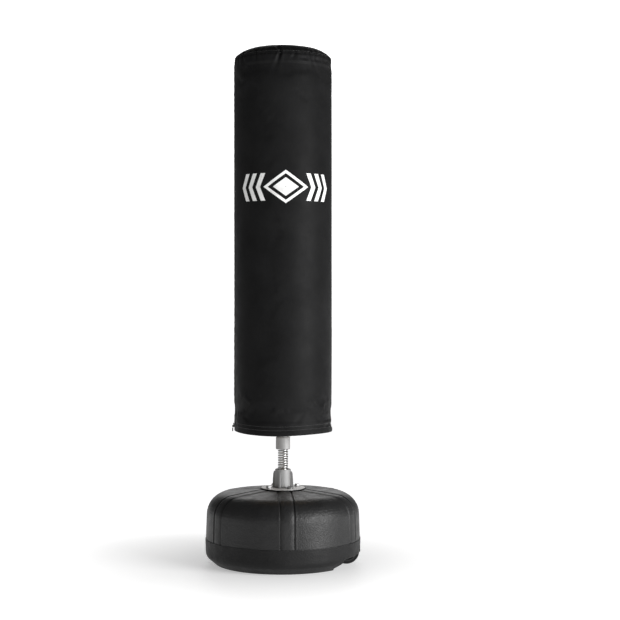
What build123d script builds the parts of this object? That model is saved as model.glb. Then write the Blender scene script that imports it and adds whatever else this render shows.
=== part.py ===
from build123d import *
import os

# Free-standing punch bag: a padded bag on a coil-spring neck. The neck is bolted
# to a round blow-moulded water tank with two wheels set into its lower edge.
#
# Millimetres. +Z is up, Z = 0 is the floor and the origin is the centre of the
# tank's foot. The front of the bag faces -Y and the wheels are on the +X side.

os.makedirs("parts", exist_ok=True)

# ---- Tank ----
TANK_RADIUS = 256.0            # widest, at the top of the lower band
BAND_TOP = 81.0
BAND_STEP = 1.5                # the wall stands back from the band by this
FOOT_RADIUS = 223.0
FOOT_INNER_RADIUS = 190.0
FOOT_RECESS = 6.0
CHAMFER_RADIUS = 254.5         # where the slanted lower corner meets the band
CHAMFER_HEIGHT = 27.0
CHAMFER_FILLET = 28.0
SHOULDER_RADIUS = 249.8        # corner of wall and roof, before it is rounded
SHOULDER_HEIGHT = 224.6
SHOULDER_FILLET = 70.0
SEAT_RADIUS = 74.0             # flat seat under the neck's flange
SEAT_HEIGHT = 242.0
TANK_WALL = 4.0
WATER_LEVEL = 188.0
WATER_GAP = 0.4

RIB_COUNT = 6
RIB_FIRST_ANGLE = 30.0
RIB_WIDTH = 45.0
RIB_RISE = 1.0
GROOVE_WIDTH = 2.5             # one groove runs along each edge of a rib
GROOVE_DEPTH = 2.0

# ---- Filler neck and cap, behind the steel neck ----
FILLER_Y = 150.0
FILLER_BOSS_RADIUS = 30.0
FILLER_BOSS_TOP = 240.0
FILLER_NECK_RADIUS = 17.0
FILLER_BORE_RADIUS = 13.0
FILLER_NECK_TOP = 252.0
FILLER_BORE_DEPTH = 34.0
CAP_CLEARANCE = 0.3
CAP_RADIUS = 20.5
CAP_ROOF = 3.0
GASKET_THICKNESS = 2.0
GASKET_GAP = 0.1
CAP_GRIPS = 18
CAP_GRIP_RADIUS = 1.0

# ---- Wheel well, axle and wheels ----
WELL_X = 152.0                 # inner end of the well
WELL_HALF_WIDTH = 174.0
WELL_SIDE_HEIGHT = 37.5
WELL_CROWN_HALF_WIDTH = 98.0
WELL_CROWN_HEIGHT = 40.0
WELL_FILLET = 40.0
WELL_DEPTH_BELOW = 10.0        # the cutting profile starts below the floor
AXLE_X = 206.0
AXLE_Z = 42.0
AXLE_RADIUS = 6.0
POCKET_RADIUS = 46.0
POCKET_HALF_WIDTH = 66.0
RELIEF_DEPTH = 8.0             # room for the axle's caps beyond each lug
RELIEF_MARGIN = 3.0
LUG_THICKNESS = 12.0
LUG_HALF_LENGTH = 18.0
LUG_DROP = 16.0
AXLE_FIT = 0.05                # radial clearance of every bore on the axle
AXLE_END = 2.0                 # the axle stands out of its lugs by this
AXLE_CAP_RADIUS = 9.5
AXLE_CAP_THICKNESS = 6.0
WHEEL_Y = 50.0
WHEEL_WIDTH = 26.0
WHEEL_RADIUS = 41.0
TYRE_FILLET = 5.0
RIM_RADIUS = 32.0
RIM_DISH = 7.0
RIM_LIP = 4.0
HUB_RADIUS = 13.0
RIM_HOLES = 5
RIM_HOLE_RADIUS = 5.0
BUSH_RADIUS = 9.0
SPACER_RADIUS = 10.0
SIDE_PLAY = 0.4

# ---- Steel neck ----
FLANGE_RADIUS = 72.0
FLANGE_THICKNESS = 5.0
FLANGE_CHAMFER = 1.0
BOLT_COUNT = 4
BOLT_CIRCLE_RADIUS = 52.0
BOLT_FIRST_ANGLE = 22.8
BOLT_RADIUS = 4.95
BOLT_HOLE_RADIUS = 5.5
BOLT_HEAD_FLATS = 16.0
BOLT_HEAD_HEIGHT = 6.5
BOLT_REACH = 24.0              # shank below the seat's face
WASHER_RADIUS = 10.0
WASHER_THICKNESS = 2.0
INSERT_RADIUS = 8.0
INSERT_BORE = 5.0
INSERT_LENGTH = 24.0
INSERT_BOSS_RADIUS = 14.0
INSERT_BOSS_DEPTH = 30.0

SOCKET_RADIUS = 26.2
SOCKET_BORE = 22.6
SOCKET_TOP = 307.0
FIN_COUNT = 4
FIN_FIRST_ANGLE = -22.2
FIN_THICKNESS = 5.0
FIN_FOOT_RADIUS = 36.5
FIN_TIP_RADIUS = 33.5
FIN_TOP = 300.0
FIN_SLOPE = 8.0

SPRING_BOTTOM = 293.0
SPRING_TOP = 388.0
SPRING_WIRE_RADIUS = 3.2
SPRING_MEAN_RADIUS = 14.8
SPRING_PITCH = 7.8
PLUG_GAP = 0.1
PLUG_DISC = 16.0
PLUG_STEM = 11.2
PLUG_STEM_LENGTH = 12.0
PIN_RADIUS = 3.0

COLLAR_RADIUS = 23.9
COLLAR_BORE = 19.0
COLLAR_BOTTOM = 373.0
COLLAR_TOP = 413.0
COLLAR_CHAMFER = 1.2
POST_RADIUS = 17.5
POST_BORE = 14.5
POST_TOP = 630.0
POST_GAP = 0.1

# ---- Bag ----
CLAMP_RADIUS = 60.0
CLAMP_BOTTOM = 446.0
CLAMP_PLATE = 5.0
CLAMP_SLEEVE_RADIUS = 22.0
CLAMP_SLEEVE_LENGTH = 26.0
CLAMP_SCREW_CIRCLE = 45.0
CLAMP_SCREW_RADIUS = 3.0
CLAMP_SCREW_HEAD = 6.0
CLAMP_SCREW_HEAD_HEIGHT = 4.0
BOTTOM_DISC_THICKNESS = 15.0
DISC_RADIUS = 153.0
CORE_RADIUS = 55.0
CORE_WALL = 4.0
FOAM_RADIUS = 155.5
CORE_TOP = 1630.0
TOP_DISC_THICKNESS = 12.0

BAG_RADIUS = 160.0
COVER_THICKNESS = 3.0
HEM_BOTTOM = 434.0
HEM_HEIGHT = 7.0
HEM_OUT = 1.2
SHOULDER_LEVEL = 1660.0        # where the side turns into the domed top
BAG_TOP = 1700.0
CROWN_RADIUS = 560.0           # gentle middle of the domed top
CROWN_ANGLE = 11.8
SOFT_GAP = 0.5
SEAM_HEIGHT = 6.0
SEAM_OUT = 1.0

ZIP_BOTTOM = 444.0
ZIP_TOP = 1640.0
TAPE_HALF_WIDTH = 11.0
TAPE_THICKNESS = 1.0
CHAIN_HALF_WIDTH = 2.6
CHAIN_THICKNESS = 1.6
SLIDER_GAP = 0.4
SLIDER_HALF_WIDTH = 5.0
SLIDER_BOTTOM = 447.0
SLIDER_LENGTH = 14.0
SLIDER_ROOF = 1.6
SLIDER_LUG_HALF_WIDTH = 1.2
SLIDER_LUG_OUT = 3.2
SLIDER_LUG_LENGTH = 7.0
PULL_PIVOT_Z = 450.5
PULL_LENGTH = 18.0
PULL_HALF_WIDTH = 3.0
PULL_THICKNESS = 1.2
PULL_FORK_WIDTH = 1.5
PULL_PIN_RADIUS = 0.6

# ---- Derived places ----
FLANGE_TOP = SEAT_HEIGHT + FLANGE_THICKNESS
WASHER_TOP = FLANGE_TOP + WASHER_THICKNESS
LUG_ROOT = WELL_CROWN_HEIGHT + TANK_WALL / 2
RELIEF_RADIUS = AXLE_CAP_RADIUS + RELIEF_MARGIN
CLAMP_TOP = CLAMP_BOTTOM + CLAMP_PLATE
BOTTOM_DISC_TOP = CLAMP_TOP + BOTTOM_DISC_THICKNESS
TOP_DISC_TOP = CORE_TOP + TOP_DISC_THICKNESS
TAPE_FACE = BAG_RADIUS + TAPE_THICKNESS
CHAIN_FACE = TAPE_FACE + CHAIN_THICKNESS
SLIDER_FACE = CHAIN_FACE + SLIDER_GAP + SLIDER_ROOF
PULL_PIVOT_X = SLIDER_FACE + SLIDER_LUG_OUT / 2


def tank_outline(inset):
    """Outer half section of the tank, from the axis round to the axis, moved in by inset."""
    floor = FOOT_RECESS + inset
    roof = SEAT_HEIGHT - inset
    recess_edge = FOOT_INNER_RADIUS + inset / 2
    outline = FilletPolyline(
        (0, floor),
        (recess_edge, floor),
        (recess_edge + FOOT_RECESS, max(inset, 0)),
        (FOOT_RADIUS - inset, max(inset, 0)),
        (CHAMFER_RADIUS - inset, CHAMFER_HEIGHT),
        (TANK_RADIUS - inset, BAND_TOP),
        (TANK_RADIUS - BAND_STEP - inset, BAND_TOP + BAND_STEP),
        (SHOULDER_RADIUS - inset, SHOULDER_HEIGHT - inset),
        (SEAT_RADIUS, roof),
        (0, roof),
        radius=[0, 0, 6.0, CHAMFER_FILLET, 0, 0, SHOULDER_FILLET - inset, 0],
    )
    Line(outline @ 1, outline @ 0)


def well_profile(margin):
    """Arched opening of the wheel well, seen along X, grown by margin."""
    side = WELL_HALF_WIDTH + margin
    crown = WELL_CROWN_HALF_WIDTH + margin
    FilletPolyline(
        (-side, -WELL_DEPTH_BELOW),
        (-side, WELL_SIDE_HEIGHT + margin),
        (-crown, WELL_CROWN_HEIGHT + margin),
        (crown, WELL_CROWN_HEIGHT + margin),
        (side, WELL_SIDE_HEIGHT + margin),
        (side, -WELL_DEPTH_BELOW),
        radius=[4.0, WELL_FILLET, WELL_FILLET, 4.0],
    )
    Line((side, -WELL_DEPTH_BELOW), (-side, -WELL_DEPTH_BELOW))


def wheel_well(margin):
    """Space that the wheels and axle need in the tank, grown by margin."""
    with BuildPart() as well:
        with BuildSketch(Plane.YZ.offset(WELL_X - margin)):
            with BuildLine():
                well_profile(margin)
            make_face()
        extrude(amount=TANK_RADIUS)
        with BuildSketch(Plane.XZ.offset(-POCKET_HALF_WIDTH - margin)):
            with Locations((AXLE_X, AXLE_Z)):
                Circle(POCKET_RADIUS + margin)
        extrude(amount=2 * (POCKET_HALF_WIDTH + margin))
        relief_end = POCKET_HALF_WIDTH + LUG_THICKNESS + RELIEF_DEPTH + margin
        with BuildSketch(Plane.XZ.offset(-relief_end)):
            with Locations((AXLE_X, AXLE_Z)):
                Circle(RELIEF_RADIUS + margin)
        extrude(amount=2 * relief_end)
    return well.part


def dome_arcs(inset):
    """Half section of the domed top, from the axis out to the side, moved in by inset."""
    crown = CenterArc((0, BAG_TOP - CROWN_RADIUS), CROWN_RADIUS - inset, 90, -CROWN_ANGLE)
    shoulder = TangentArc(crown @ 1, (BAG_RADIUS - inset, SHOULDER_LEVEL), tangent=crown % 1)
    return crown @ 0, shoulder @ 1


# ---------------------------------------------------------------- tank
with BuildPart() as tank_ribs:
    with BuildSketch(Plane.XZ):
        with BuildLine():
            tank_outline(-RIB_RISE)
        make_face()
    revolve(axis=Axis.Z)
    with BuildSketch(Plane.XY.offset(BAND_TOP + BAND_STEP)):
        with PolarLocations(0, RIB_COUNT // 2, start_angle=RIB_FIRST_ANGLE, angular_range=180):
            Rectangle(3 * TANK_RADIUS, RIB_WIDTH)
        Circle(SEAT_RADIUS + RIB_RISE, mode=Mode.SUBTRACT)
    extrude(amount=SEAT_HEIGHT, mode=Mode.INTERSECT)

with BuildPart() as rib_grooves:
    with BuildSketch(Plane.XZ):
        with BuildLine():
            tank_outline(-2 * RIB_RISE)
        make_face()
        with BuildLine():
            tank_outline(GROOVE_DEPTH)
        make_face(mode=Mode.SUBTRACT)
    revolve(axis=Axis.Z)
    groove_middle = (RIB_WIDTH + GROOVE_WIDTH) / 2
    with BuildSketch(Plane.XY.offset(BAND_TOP + BAND_STEP)):
        with PolarLocations(0, RIB_COUNT // 2, start_angle=RIB_FIRST_ANGLE, angular_range=180):
            with Locations((0, groove_middle), (0, -groove_middle)):
                Rectangle(3 * TANK_RADIUS, GROOVE_WIDTH)
        Circle(SEAT_RADIUS + GROOVE_DEPTH, mode=Mode.SUBTRACT)
    extrude(amount=SEAT_HEIGHT, mode=Mode.INTERSECT)

with BuildPart() as tank_hollow:
    with BuildSketch(Plane.XZ):
        with BuildLine():
            tank_outline(TANK_WALL)
        make_face()
    revolve(axis=Axis.Z)
    add(wheel_well(TANK_WALL), mode=Mode.SUBTRACT)
    with BuildSketch(Plane.XY.offset(SEAT_HEIGHT - INSERT_BOSS_DEPTH)):
        with PolarLocations(BOLT_CIRCLE_RADIUS, BOLT_COUNT, start_angle=BOLT_FIRST_ANGLE):
            Circle(INSERT_BOSS_RADIUS)
    extrude(amount=INSERT_BOSS_DEPTH, mode=Mode.SUBTRACT)

with BuildPart() as water_tank:
    with BuildSketch(Plane.XZ):
        with BuildLine():
            tank_outline(0)
        make_face()
    revolve(axis=Axis.Z)
    add(tank_ribs.part)
    add(rib_grooves.part, mode=Mode.SUBTRACT)
    with BuildSketch(Plane.XY.offset(FILLER_BOSS_TOP)):
        with Locations((0, FILLER_Y)):
            Circle(FILLER_BOSS_RADIUS)
    extrude(amount=-FILLER_BORE_DEPTH / 2)
    add(tank_hollow.part, mode=Mode.SUBTRACT)
    with BuildSketch(Plane.XY.offset(FILLER_NECK_TOP)):
        with Locations((0, FILLER_Y)):
            Circle(FILLER_NECK_RADIUS)
    extrude(amount=-FILLER_BORE_DEPTH / 2)
    with BuildSketch(Plane.XY.offset(FILLER_NECK_TOP)):
        with Locations((0, FILLER_Y)):
            Circle(FILLER_BORE_RADIUS)
    extrude(amount=-FILLER_BORE_DEPTH, mode=Mode.SUBTRACT)
    add(wheel_well(0), mode=Mode.SUBTRACT)
    for lug_face in (POCKET_HALF_WIDTH, -POCKET_HALF_WIDTH - LUG_THICKNESS):
        with BuildSketch(Plane.XZ.offset(lug_face)):
            with Locations((AXLE_X, AXLE_Z - LUG_DROP)):
                Rectangle(2 * LUG_HALF_LENGTH, LUG_ROOT - AXLE_Z + LUG_DROP, align=(Align.CENTER, Align.MIN))
            with Locations((AXLE_X, AXLE_Z)):
                Circle(RELIEF_RADIUS + TANK_WALL / 2)
        extrude(amount=LUG_THICKNESS)
    with BuildSketch(Plane.XZ.offset(-POCKET_HALF_WIDTH - LUG_THICKNESS)):
        with Locations((AXLE_X, AXLE_Z)):
            Circle(AXLE_RADIUS + AXLE_FIT)
    extrude(amount=2 * (POCKET_HALF_WIDTH + LUG_THICKNESS), mode=Mode.SUBTRACT)
    with BuildSketch(Plane.XY.offset(SEAT_HEIGHT)):
        with PolarLocations(BOLT_CIRCLE_RADIUS, BOLT_COUNT, start_angle=BOLT_FIRST_ANGLE):
            Circle(INSERT_RADIUS)
    extrude(amount=-INSERT_LENGTH, mode=Mode.SUBTRACT)

water_tank.part.label = "water_tank"
export_step(water_tank.part, "parts/water_tank.step")

with BuildPart() as water_ballast:
    with BuildSketch(Plane.XZ):
        with BuildLine():
            tank_outline(TANK_WALL + WATER_GAP)
        make_face()
    revolve(axis=Axis.Z)
    add(wheel_well(TANK_WALL + WATER_GAP), mode=Mode.SUBTRACT)
    with BuildSketch(Plane.XY.offset(WATER_LEVEL)):
        Circle(TANK_RADIUS)
    extrude(amount=SEAT_HEIGHT, mode=Mode.SUBTRACT)

water_ballast.part.label = "water_ballast"
export_step(water_ballast.part, "parts/water_ballast.step")

with BuildPart() as threaded_inserts:
    with BuildSketch(Plane.XY.offset(SEAT_HEIGHT)):
        with PolarLocations(BOLT_CIRCLE_RADIUS, BOLT_COUNT, start_angle=BOLT_FIRST_ANGLE):
            Circle(INSERT_RADIUS)
            Circle(INSERT_BORE, mode=Mode.SUBTRACT)
    extrude(amount=-INSERT_LENGTH)

threaded_inserts.part.label = "threaded_inserts"
export_step(threaded_inserts.part, "parts/threaded_inserts.step")

# ---------------------------------------------------------------- filler cap
with BuildPart() as filler_cap:
    with BuildSketch(Plane.XY.offset(FILLER_BOSS_TOP + CAP_CLEARANCE)):
        with Locations((0, FILLER_Y)):
            Circle(CAP_RADIUS)
            with PolarLocations(CAP_RADIUS, CAP_GRIPS):
                Circle(CAP_GRIP_RADIUS, mode=Mode.SUBTRACT)
    extrude(amount=FILLER_NECK_TOP - FILLER_BOSS_TOP - CAP_CLEARANCE + GASKET_THICKNESS + CAP_ROOF)
    chamfer(filler_cap.edges().group_by(Axis.Z)[-1], length=0.8)
    with BuildSketch(Plane.XY.offset(FILLER_BOSS_TOP + CAP_CLEARANCE)):
        with Locations((0, FILLER_Y)):
            Circle(FILLER_NECK_RADIUS + CAP_CLEARANCE)
    extrude(
        amount=FILLER_NECK_TOP - FILLER_BOSS_TOP - CAP_CLEARANCE + GASKET_THICKNESS,
        mode=Mode.SUBTRACT,
    )

filler_cap.part.label = "filler_cap"
export_step(filler_cap.part, "parts/filler_cap.step")

with BuildPart() as cap_gasket:
    with BuildSketch(Plane.XY.offset(FILLER_NECK_TOP + GASKET_GAP)):
        with Locations((0, FILLER_Y)):
            Circle(FILLER_NECK_RADIUS)
    extrude(amount=GASKET_THICKNESS - GASKET_GAP)

cap_gasket.part.label = "cap_gasket"
export_step(cap_gasket.part, "parts/cap_gasket.step")

# ---------------------------------------------------------------- axle and wheels
axle_half_length = POCKET_HALF_WIDTH + LUG_THICKNESS + AXLE_END

with BuildPart() as wheel_axle:
    with BuildSketch(Plane.XZ.offset(-axle_half_length)):
        with Locations((AXLE_X, AXLE_Z)):
            Circle(AXLE_RADIUS)
    extrude(amount=2 * axle_half_length)

wheel_axle.part.label = "wheel_axle"
export_step(wheel_axle.part, "parts/wheel_axle.step")

with BuildPart() as axle_caps:
    with BuildSketch(Plane.XZ.offset(POCKET_HALF_WIDTH + LUG_THICKNESS)):
        with Locations((AXLE_X, AXLE_Z)):
            Circle(AXLE_CAP_RADIUS)
    extrude(amount=AXLE_CAP_THICKNESS)
    fillet(axle_caps.edges().group_by(Axis.Y)[0], radius=2.0)
    with BuildSketch(Plane.XZ.offset(POCKET_HALF_WIDTH + LUG_THICKNESS)):
        with Locations((AXLE_X, AXLE_Z)):
            Circle(AXLE_RADIUS + AXLE_FIT)
    extrude(amount=AXLE_END + AXLE_FIT, mode=Mode.SUBTRACT)
    mirror(about=Plane.XZ)

axle_caps.part.label = "axle_caps"
export_step(axle_caps.part, "parts/axle_caps.step")

wheel_inner_face = WHEEL_Y - WHEEL_WIDTH / 2
wheel_outer_face = WHEEL_Y + WHEEL_WIDTH / 2

with BuildPart() as axle_spacers:
    with BuildSketch(Plane.XZ.offset(SIDE_PLAY - wheel_inner_face)):
        with Locations((AXLE_X, AXLE_Z)):
            Circle(SPACER_RADIUS)
            Circle(AXLE_RADIUS + AXLE_FIT, mode=Mode.SUBTRACT)
    extrude(amount=2 * (wheel_inner_face - SIDE_PLAY))
    for first_face in (wheel_outer_face + SIDE_PLAY, SIDE_PLAY - POCKET_HALF_WIDTH):
        with BuildSketch(Plane.XZ.offset(first_face)):
            with Locations((AXLE_X, AXLE_Z)):
                Circle(SPACER_RADIUS)
                Circle(AXLE_RADIUS + AXLE_FIT, mode=Mode.SUBTRACT)
        extrude(amount=POCKET_HALF_WIDTH - wheel_outer_face - 2 * SIDE_PLAY)

axle_spacers.part.label = "axle_spacers"
export_step(axle_spacers.part, "parts/axle_spacers.step")

for side_name, centre_y in (("front", -WHEEL_Y), ("rear", WHEEL_Y)):
    outer_plane = Plane.XZ.offset(-centre_y - WHEEL_WIDTH / 2)

    with BuildPart() as tyre:
        with BuildSketch(outer_plane):
            with Locations((AXLE_X, AXLE_Z)):
                Circle(WHEEL_RADIUS)
        extrude(amount=WHEEL_WIDTH)
        fillet(tyre.edges(), radius=TYRE_FILLET)
        with BuildSketch(outer_plane):
            with Locations((AXLE_X, AXLE_Z)):
                Circle(RIM_RADIUS)
        extrude(amount=WHEEL_WIDTH, mode=Mode.SUBTRACT)

    tyre.part.label = f"{side_name}_tyre"
    export_step(tyre.part, f"parts/{side_name}_tyre.step")

    with BuildPart() as rim:
        with BuildSketch(outer_plane):
            with Locations((AXLE_X, AXLE_Z)):
                Circle(RIM_RADIUS)
        extrude(amount=WHEEL_WIDTH)
        for face_plane, cut in ((outer_plane, RIM_DISH), (outer_plane.offset(WHEEL_WIDTH), -RIM_DISH)):
            with BuildSketch(face_plane):
                with Locations((AXLE_X, AXLE_Z)):
                    Circle(RIM_RADIUS - RIM_LIP)
                    Circle(HUB_RADIUS, mode=Mode.SUBTRACT)
            extrude(amount=cut, mode=Mode.SUBTRACT)
        with BuildSketch(outer_plane):
            with Locations((AXLE_X, AXLE_Z)):
                Circle(BUSH_RADIUS)
                with PolarLocations((RIM_RADIUS - RIM_LIP + HUB_RADIUS) / 2, RIM_HOLES):
                    Circle(RIM_HOLE_RADIUS)
        extrude(amount=WHEEL_WIDTH, mode=Mode.SUBTRACT)

    rim.part.label = f"{side_name}_rim"
    export_step(rim.part, f"parts/{side_name}_rim.step")

    with BuildPart() as bush:
        with BuildSketch(outer_plane):
            with Locations((AXLE_X, AXLE_Z)):
                Circle(BUSH_RADIUS)
                Circle(AXLE_RADIUS + AXLE_FIT, mode=Mode.SUBTRACT)
        extrude(amount=WHEEL_WIDTH)

    bush.part.label = f"{side_name}_bush"
    export_step(bush.part, f"parts/{side_name}_bush.step")

# ---------------------------------------------------------------- flange and socket
with BuildPart() as flange_plate:
    with BuildSketch(Plane.XY.offset(SEAT_HEIGHT)):
        Circle(FLANGE_RADIUS)
        with PolarLocations(BOLT_CIRCLE_RADIUS, BOLT_COUNT, start_angle=BOLT_FIRST_ANGLE):
            Circle(BOLT_HOLE_RADIUS, mode=Mode.SUBTRACT)
    extrude(amount=FLANGE_THICKNESS)
    rim_edges = flange_plate.edges().filter_by(GeomType.CIRCLE).sort_by(SortBy.RADIUS)[-2:]
    chamfer(rim_edges.sort_by(Axis.Z)[-1], length=FLANGE_CHAMFER)

flange_plate.part.label = "flange_plate"
export_step(flange_plate.part, "parts/flange_plate.step")

with BuildPart() as flange_washers:
    with BuildSketch(Plane.XY.offset(FLANGE_TOP)):
        with PolarLocations(BOLT_CIRCLE_RADIUS, BOLT_COUNT, start_angle=BOLT_FIRST_ANGLE):
            Circle(WASHER_RADIUS)
            Circle(BOLT_HOLE_RADIUS, mode=Mode.SUBTRACT)
    extrude(amount=WASHER_THICKNESS)

flange_washers.part.label = "flange_washers"
export_step(flange_washers.part, "parts/flange_washers.step")

with BuildPart() as flange_bolts:
    with BuildSketch(Plane.XY.offset(WASHER_TOP)):
        with PolarLocations(BOLT_CIRCLE_RADIUS, BOLT_COUNT, start_angle=BOLT_FIRST_ANGLE):
            RegularPolygon(BOLT_HEAD_FLATS / 2, 6, major_radius=False)
    extrude(amount=BOLT_HEAD_HEIGHT)
    chamfer(flange_bolts.edges().group_by(Axis.Z)[-1], length=0.8)
    with BuildSketch(Plane.XY.offset(SEAT_HEIGHT - BOLT_REACH)):
        with PolarLocations(BOLT_CIRCLE_RADIUS, BOLT_COUNT, start_angle=BOLT_FIRST_ANGLE):
            Circle(BOLT_RADIUS)
    extrude(amount=WASHER_TOP - SEAT_HEIGHT + BOLT_REACH)

flange_bolts.part.label = "flange_bolts"
export_step(flange_bolts.part, "parts/flange_bolts.step")

with BuildPart() as socket_tube:
    with BuildSketch(Plane.XY.offset(FLANGE_TOP)):
        Circle(SOCKET_RADIUS)
        Circle(SOCKET_BORE, mode=Mode.SUBTRACT)
    extrude(amount=SOCKET_TOP - FLANGE_TOP)
    chamfer(socket_tube.edges().group_by(Axis.Z)[-1], length=0.8)
    with BuildSketch(Plane.YZ.offset(-SOCKET_RADIUS)):
        with Locations((0, SPRING_BOTTOM - PLUG_DISC / 2)):
            Circle(PIN_RADIUS)
    extrude(amount=2 * SOCKET_RADIUS, mode=Mode.SUBTRACT)

socket_tube.part.label = "socket_tube"
export_step(socket_tube.part, "parts/socket_tube.step")

with BuildPart() as socket_fins:
    with BuildSketch(Plane.XZ) as fin_outline:
        with BuildLine():
            Polyline(
                (SOCKET_RADIUS, FLANGE_TOP),
                (FIN_FOOT_RADIUS, FLANGE_TOP),
                (FIN_TIP_RADIUS, FIN_TOP - FIN_SLOPE),
                (FIN_TIP_RADIUS - FIN_SLOPE / 3, FIN_TOP),
                (SOCKET_RADIUS, FIN_TOP),
                close=True,
            )
        make_face()
    with PolarLocations(0, FIN_COUNT, start_angle=FIN_FIRST_ANGLE):
        add(extrude(fin_outline.sketch, amount=FIN_THICKNESS / 2, both=True, mode=Mode.PRIVATE))

socket_fins.part.label = "socket_fins"
export_step(socket_fins.part, "parts/socket_fins.step")

with BuildPart() as lower_spring_plug:
    with BuildSketch(Plane.XY.offset(SPRING_BOTTOM - PLUG_DISC)):
        Circle(SOCKET_BORE - PLUG_GAP)
    extrude(amount=PLUG_DISC)
    with BuildSketch(Plane.XY.offset(SPRING_BOTTOM)):
        Circle(PLUG_STEM)
    extrude(amount=PLUG_STEM_LENGTH)
    chamfer(lower_spring_plug.edges().group_by(Axis.Z)[-1], length=1.5)
    with BuildSketch(Plane.YZ.offset(-SOCKET_RADIUS)):
        with Locations((0, SPRING_BOTTOM - PLUG_DISC / 2)):
            Circle(PIN_RADIUS)
    extrude(amount=2 * SOCKET_RADIUS, mode=Mode.SUBTRACT)

lower_spring_plug.part.label = "lower_spring_plug"
export_step(lower_spring_plug.part, "parts/lower_spring_plug.step")

with BuildPart() as socket_pin:
    with BuildSketch(Plane.YZ.offset(-SOCKET_RADIUS)):
        with Locations((0, SPRING_BOTTOM - PLUG_DISC / 2)):
            Circle(PIN_RADIUS)
    extrude(amount=2 * SOCKET_RADIUS)

socket_pin.part.label = "socket_pin"
export_step(socket_pin.part, "parts/socket_pin.step")

# ---------------------------------------------------------------- spring
spring_path = Helix(
    pitch=SPRING_PITCH,
    height=SPRING_TOP - SPRING_BOTTOM - 2 * SPRING_WIRE_RADIUS,
    radius=SPRING_MEAN_RADIUS,
    center=(0, 0, SPRING_BOTTOM + SPRING_WIRE_RADIUS),
)

with BuildPart() as spring:
    with BuildSketch(Plane(origin=spring_path @ 0, z_dir=spring_path % 0)):
        Circle(SPRING_WIRE_RADIUS)
    sweep(path=spring_path, is_frenet=True)

spring.part.label = "spring"
export_step(spring.part, "parts/spring.step")

# ---------------------------------------------------------------- collar and post
with BuildPart() as upper_spring_plug:
    with BuildSketch(Plane.XY.offset(SPRING_TOP)):
        Circle(COLLAR_BORE - PLUG_GAP)
    extrude(amount=PLUG_DISC)
    with BuildSketch(Plane.XY.offset(SPRING_TOP)):
        Circle(PLUG_STEM)
    extrude(amount=-PLUG_STEM_LENGTH)
    chamfer(upper_spring_plug.edges().group_by(Axis.Z)[0], length=1.5)
    with BuildSketch(Plane.YZ.offset(-COLLAR_RADIUS)):
        with Locations((0, SPRING_TOP + PLUG_DISC / 2)):
            Circle(PIN_RADIUS)
    extrude(amount=2 * COLLAR_RADIUS, mode=Mode.SUBTRACT)

upper_spring_plug.part.label = "upper_spring_plug"
export_step(upper_spring_plug.part, "parts/upper_spring_plug.step")

with BuildPart() as upper_collar:
    with BuildSketch(Plane.XY.offset(COLLAR_BOTTOM)):
        Circle(COLLAR_RADIUS)
    extrude(amount=COLLAR_TOP - COLLAR_BOTTOM)
    chamfer(upper_collar.edges().filter_by(GeomType.CIRCLE), length=COLLAR_CHAMFER)
    with BuildSketch(Plane.XY.offset(COLLAR_BOTTOM)):
        Circle(COLLAR_BORE)
    extrude(amount=SPRING_TOP + PLUG_DISC - COLLAR_BOTTOM, mode=Mode.SUBTRACT)
    with BuildSketch(Plane.XY.offset(COLLAR_TOP)):
        Circle(POST_RADIUS + POST_GAP)
    extrude(amount=COLLAR_BOTTOM - COLLAR_TOP, mode=Mode.SUBTRACT)
    with BuildSketch(Plane.YZ.offset(-COLLAR_RADIUS)):
        with Locations((0, SPRING_TOP + PLUG_DISC / 2)):
            Circle(PIN_RADIUS)
    extrude(amount=2 * COLLAR_RADIUS, mode=Mode.SUBTRACT)

upper_collar.part.label = "upper_collar"
export_step(upper_collar.part, "parts/upper_collar.step")

with BuildPart() as collar_pin:
    with BuildSketch(Plane.YZ.offset(-COLLAR_RADIUS)):
        with Locations((0, SPRING_TOP + PLUG_DISC / 2)):
            Circle(PIN_RADIUS)
    extrude(amount=2 * COLLAR_RADIUS)

collar_pin.part.label = "collar_pin"
export_step(collar_pin.part, "parts/collar_pin.step")

with BuildPart() as neck_post:
    with BuildSketch(Plane.XY.offset(SPRING_TOP + PLUG_DISC)):
        Circle(POST_RADIUS)
        Circle(POST_BORE, mode=Mode.SUBTRACT)
    extrude(amount=POST_TOP - SPRING_TOP - PLUG_DISC)

neck_post.part.label = "neck_post"
export_step(neck_post.part, "parts/neck_post.step")

# ---------------------------------------------------------------- bag structure
with BuildPart() as base_clamp:
    with BuildSketch(Plane.XY.offset(CLAMP_BOTTOM)):
        Circle(CLAMP_RADIUS)
    extrude(amount=CLAMP_PLATE)
    with BuildSketch(Plane.XY.offset(CLAMP_TOP - CLAMP_SLEEVE_LENGTH)):
        Circle(CLAMP_SLEEVE_RADIUS)
    extrude(amount=CLAMP_SLEEVE_LENGTH)
    with BuildSketch(Plane.XY.offset(CLAMP_TOP)):
        Circle(POST_RADIUS + POST_GAP)
        with PolarLocations(CLAMP_SCREW_CIRCLE, BOLT_COUNT):
            Circle(CLAMP_SCREW_RADIUS)
    extrude(amount=-CLAMP_SLEEVE_LENGTH, mode=Mode.SUBTRACT)

base_clamp.part.label = "base_clamp"
export_step(base_clamp.part, "parts/base_clamp.step")

with BuildPart() as clamp_screws:
    with BuildSketch(Plane.XY.offset(CLAMP_BOTTOM)):
        with PolarLocations(CLAMP_SCREW_CIRCLE, BOLT_COUNT):
            Circle(CLAMP_SCREW_HEAD)
    extrude(amount=-CLAMP_SCREW_HEAD_HEIGHT)
    fillet(clamp_screws.edges().group_by(Axis.Z)[0], radius=1.5)
    with BuildSketch(Plane.XY.offset(CLAMP_BOTTOM)):
        with PolarLocations(CLAMP_SCREW_CIRCLE, BOLT_COUNT):
            Circle(CLAMP_SCREW_RADIUS)
    extrude(amount=CLAMP_PLATE + BOTTOM_DISC_THICKNESS)

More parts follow.
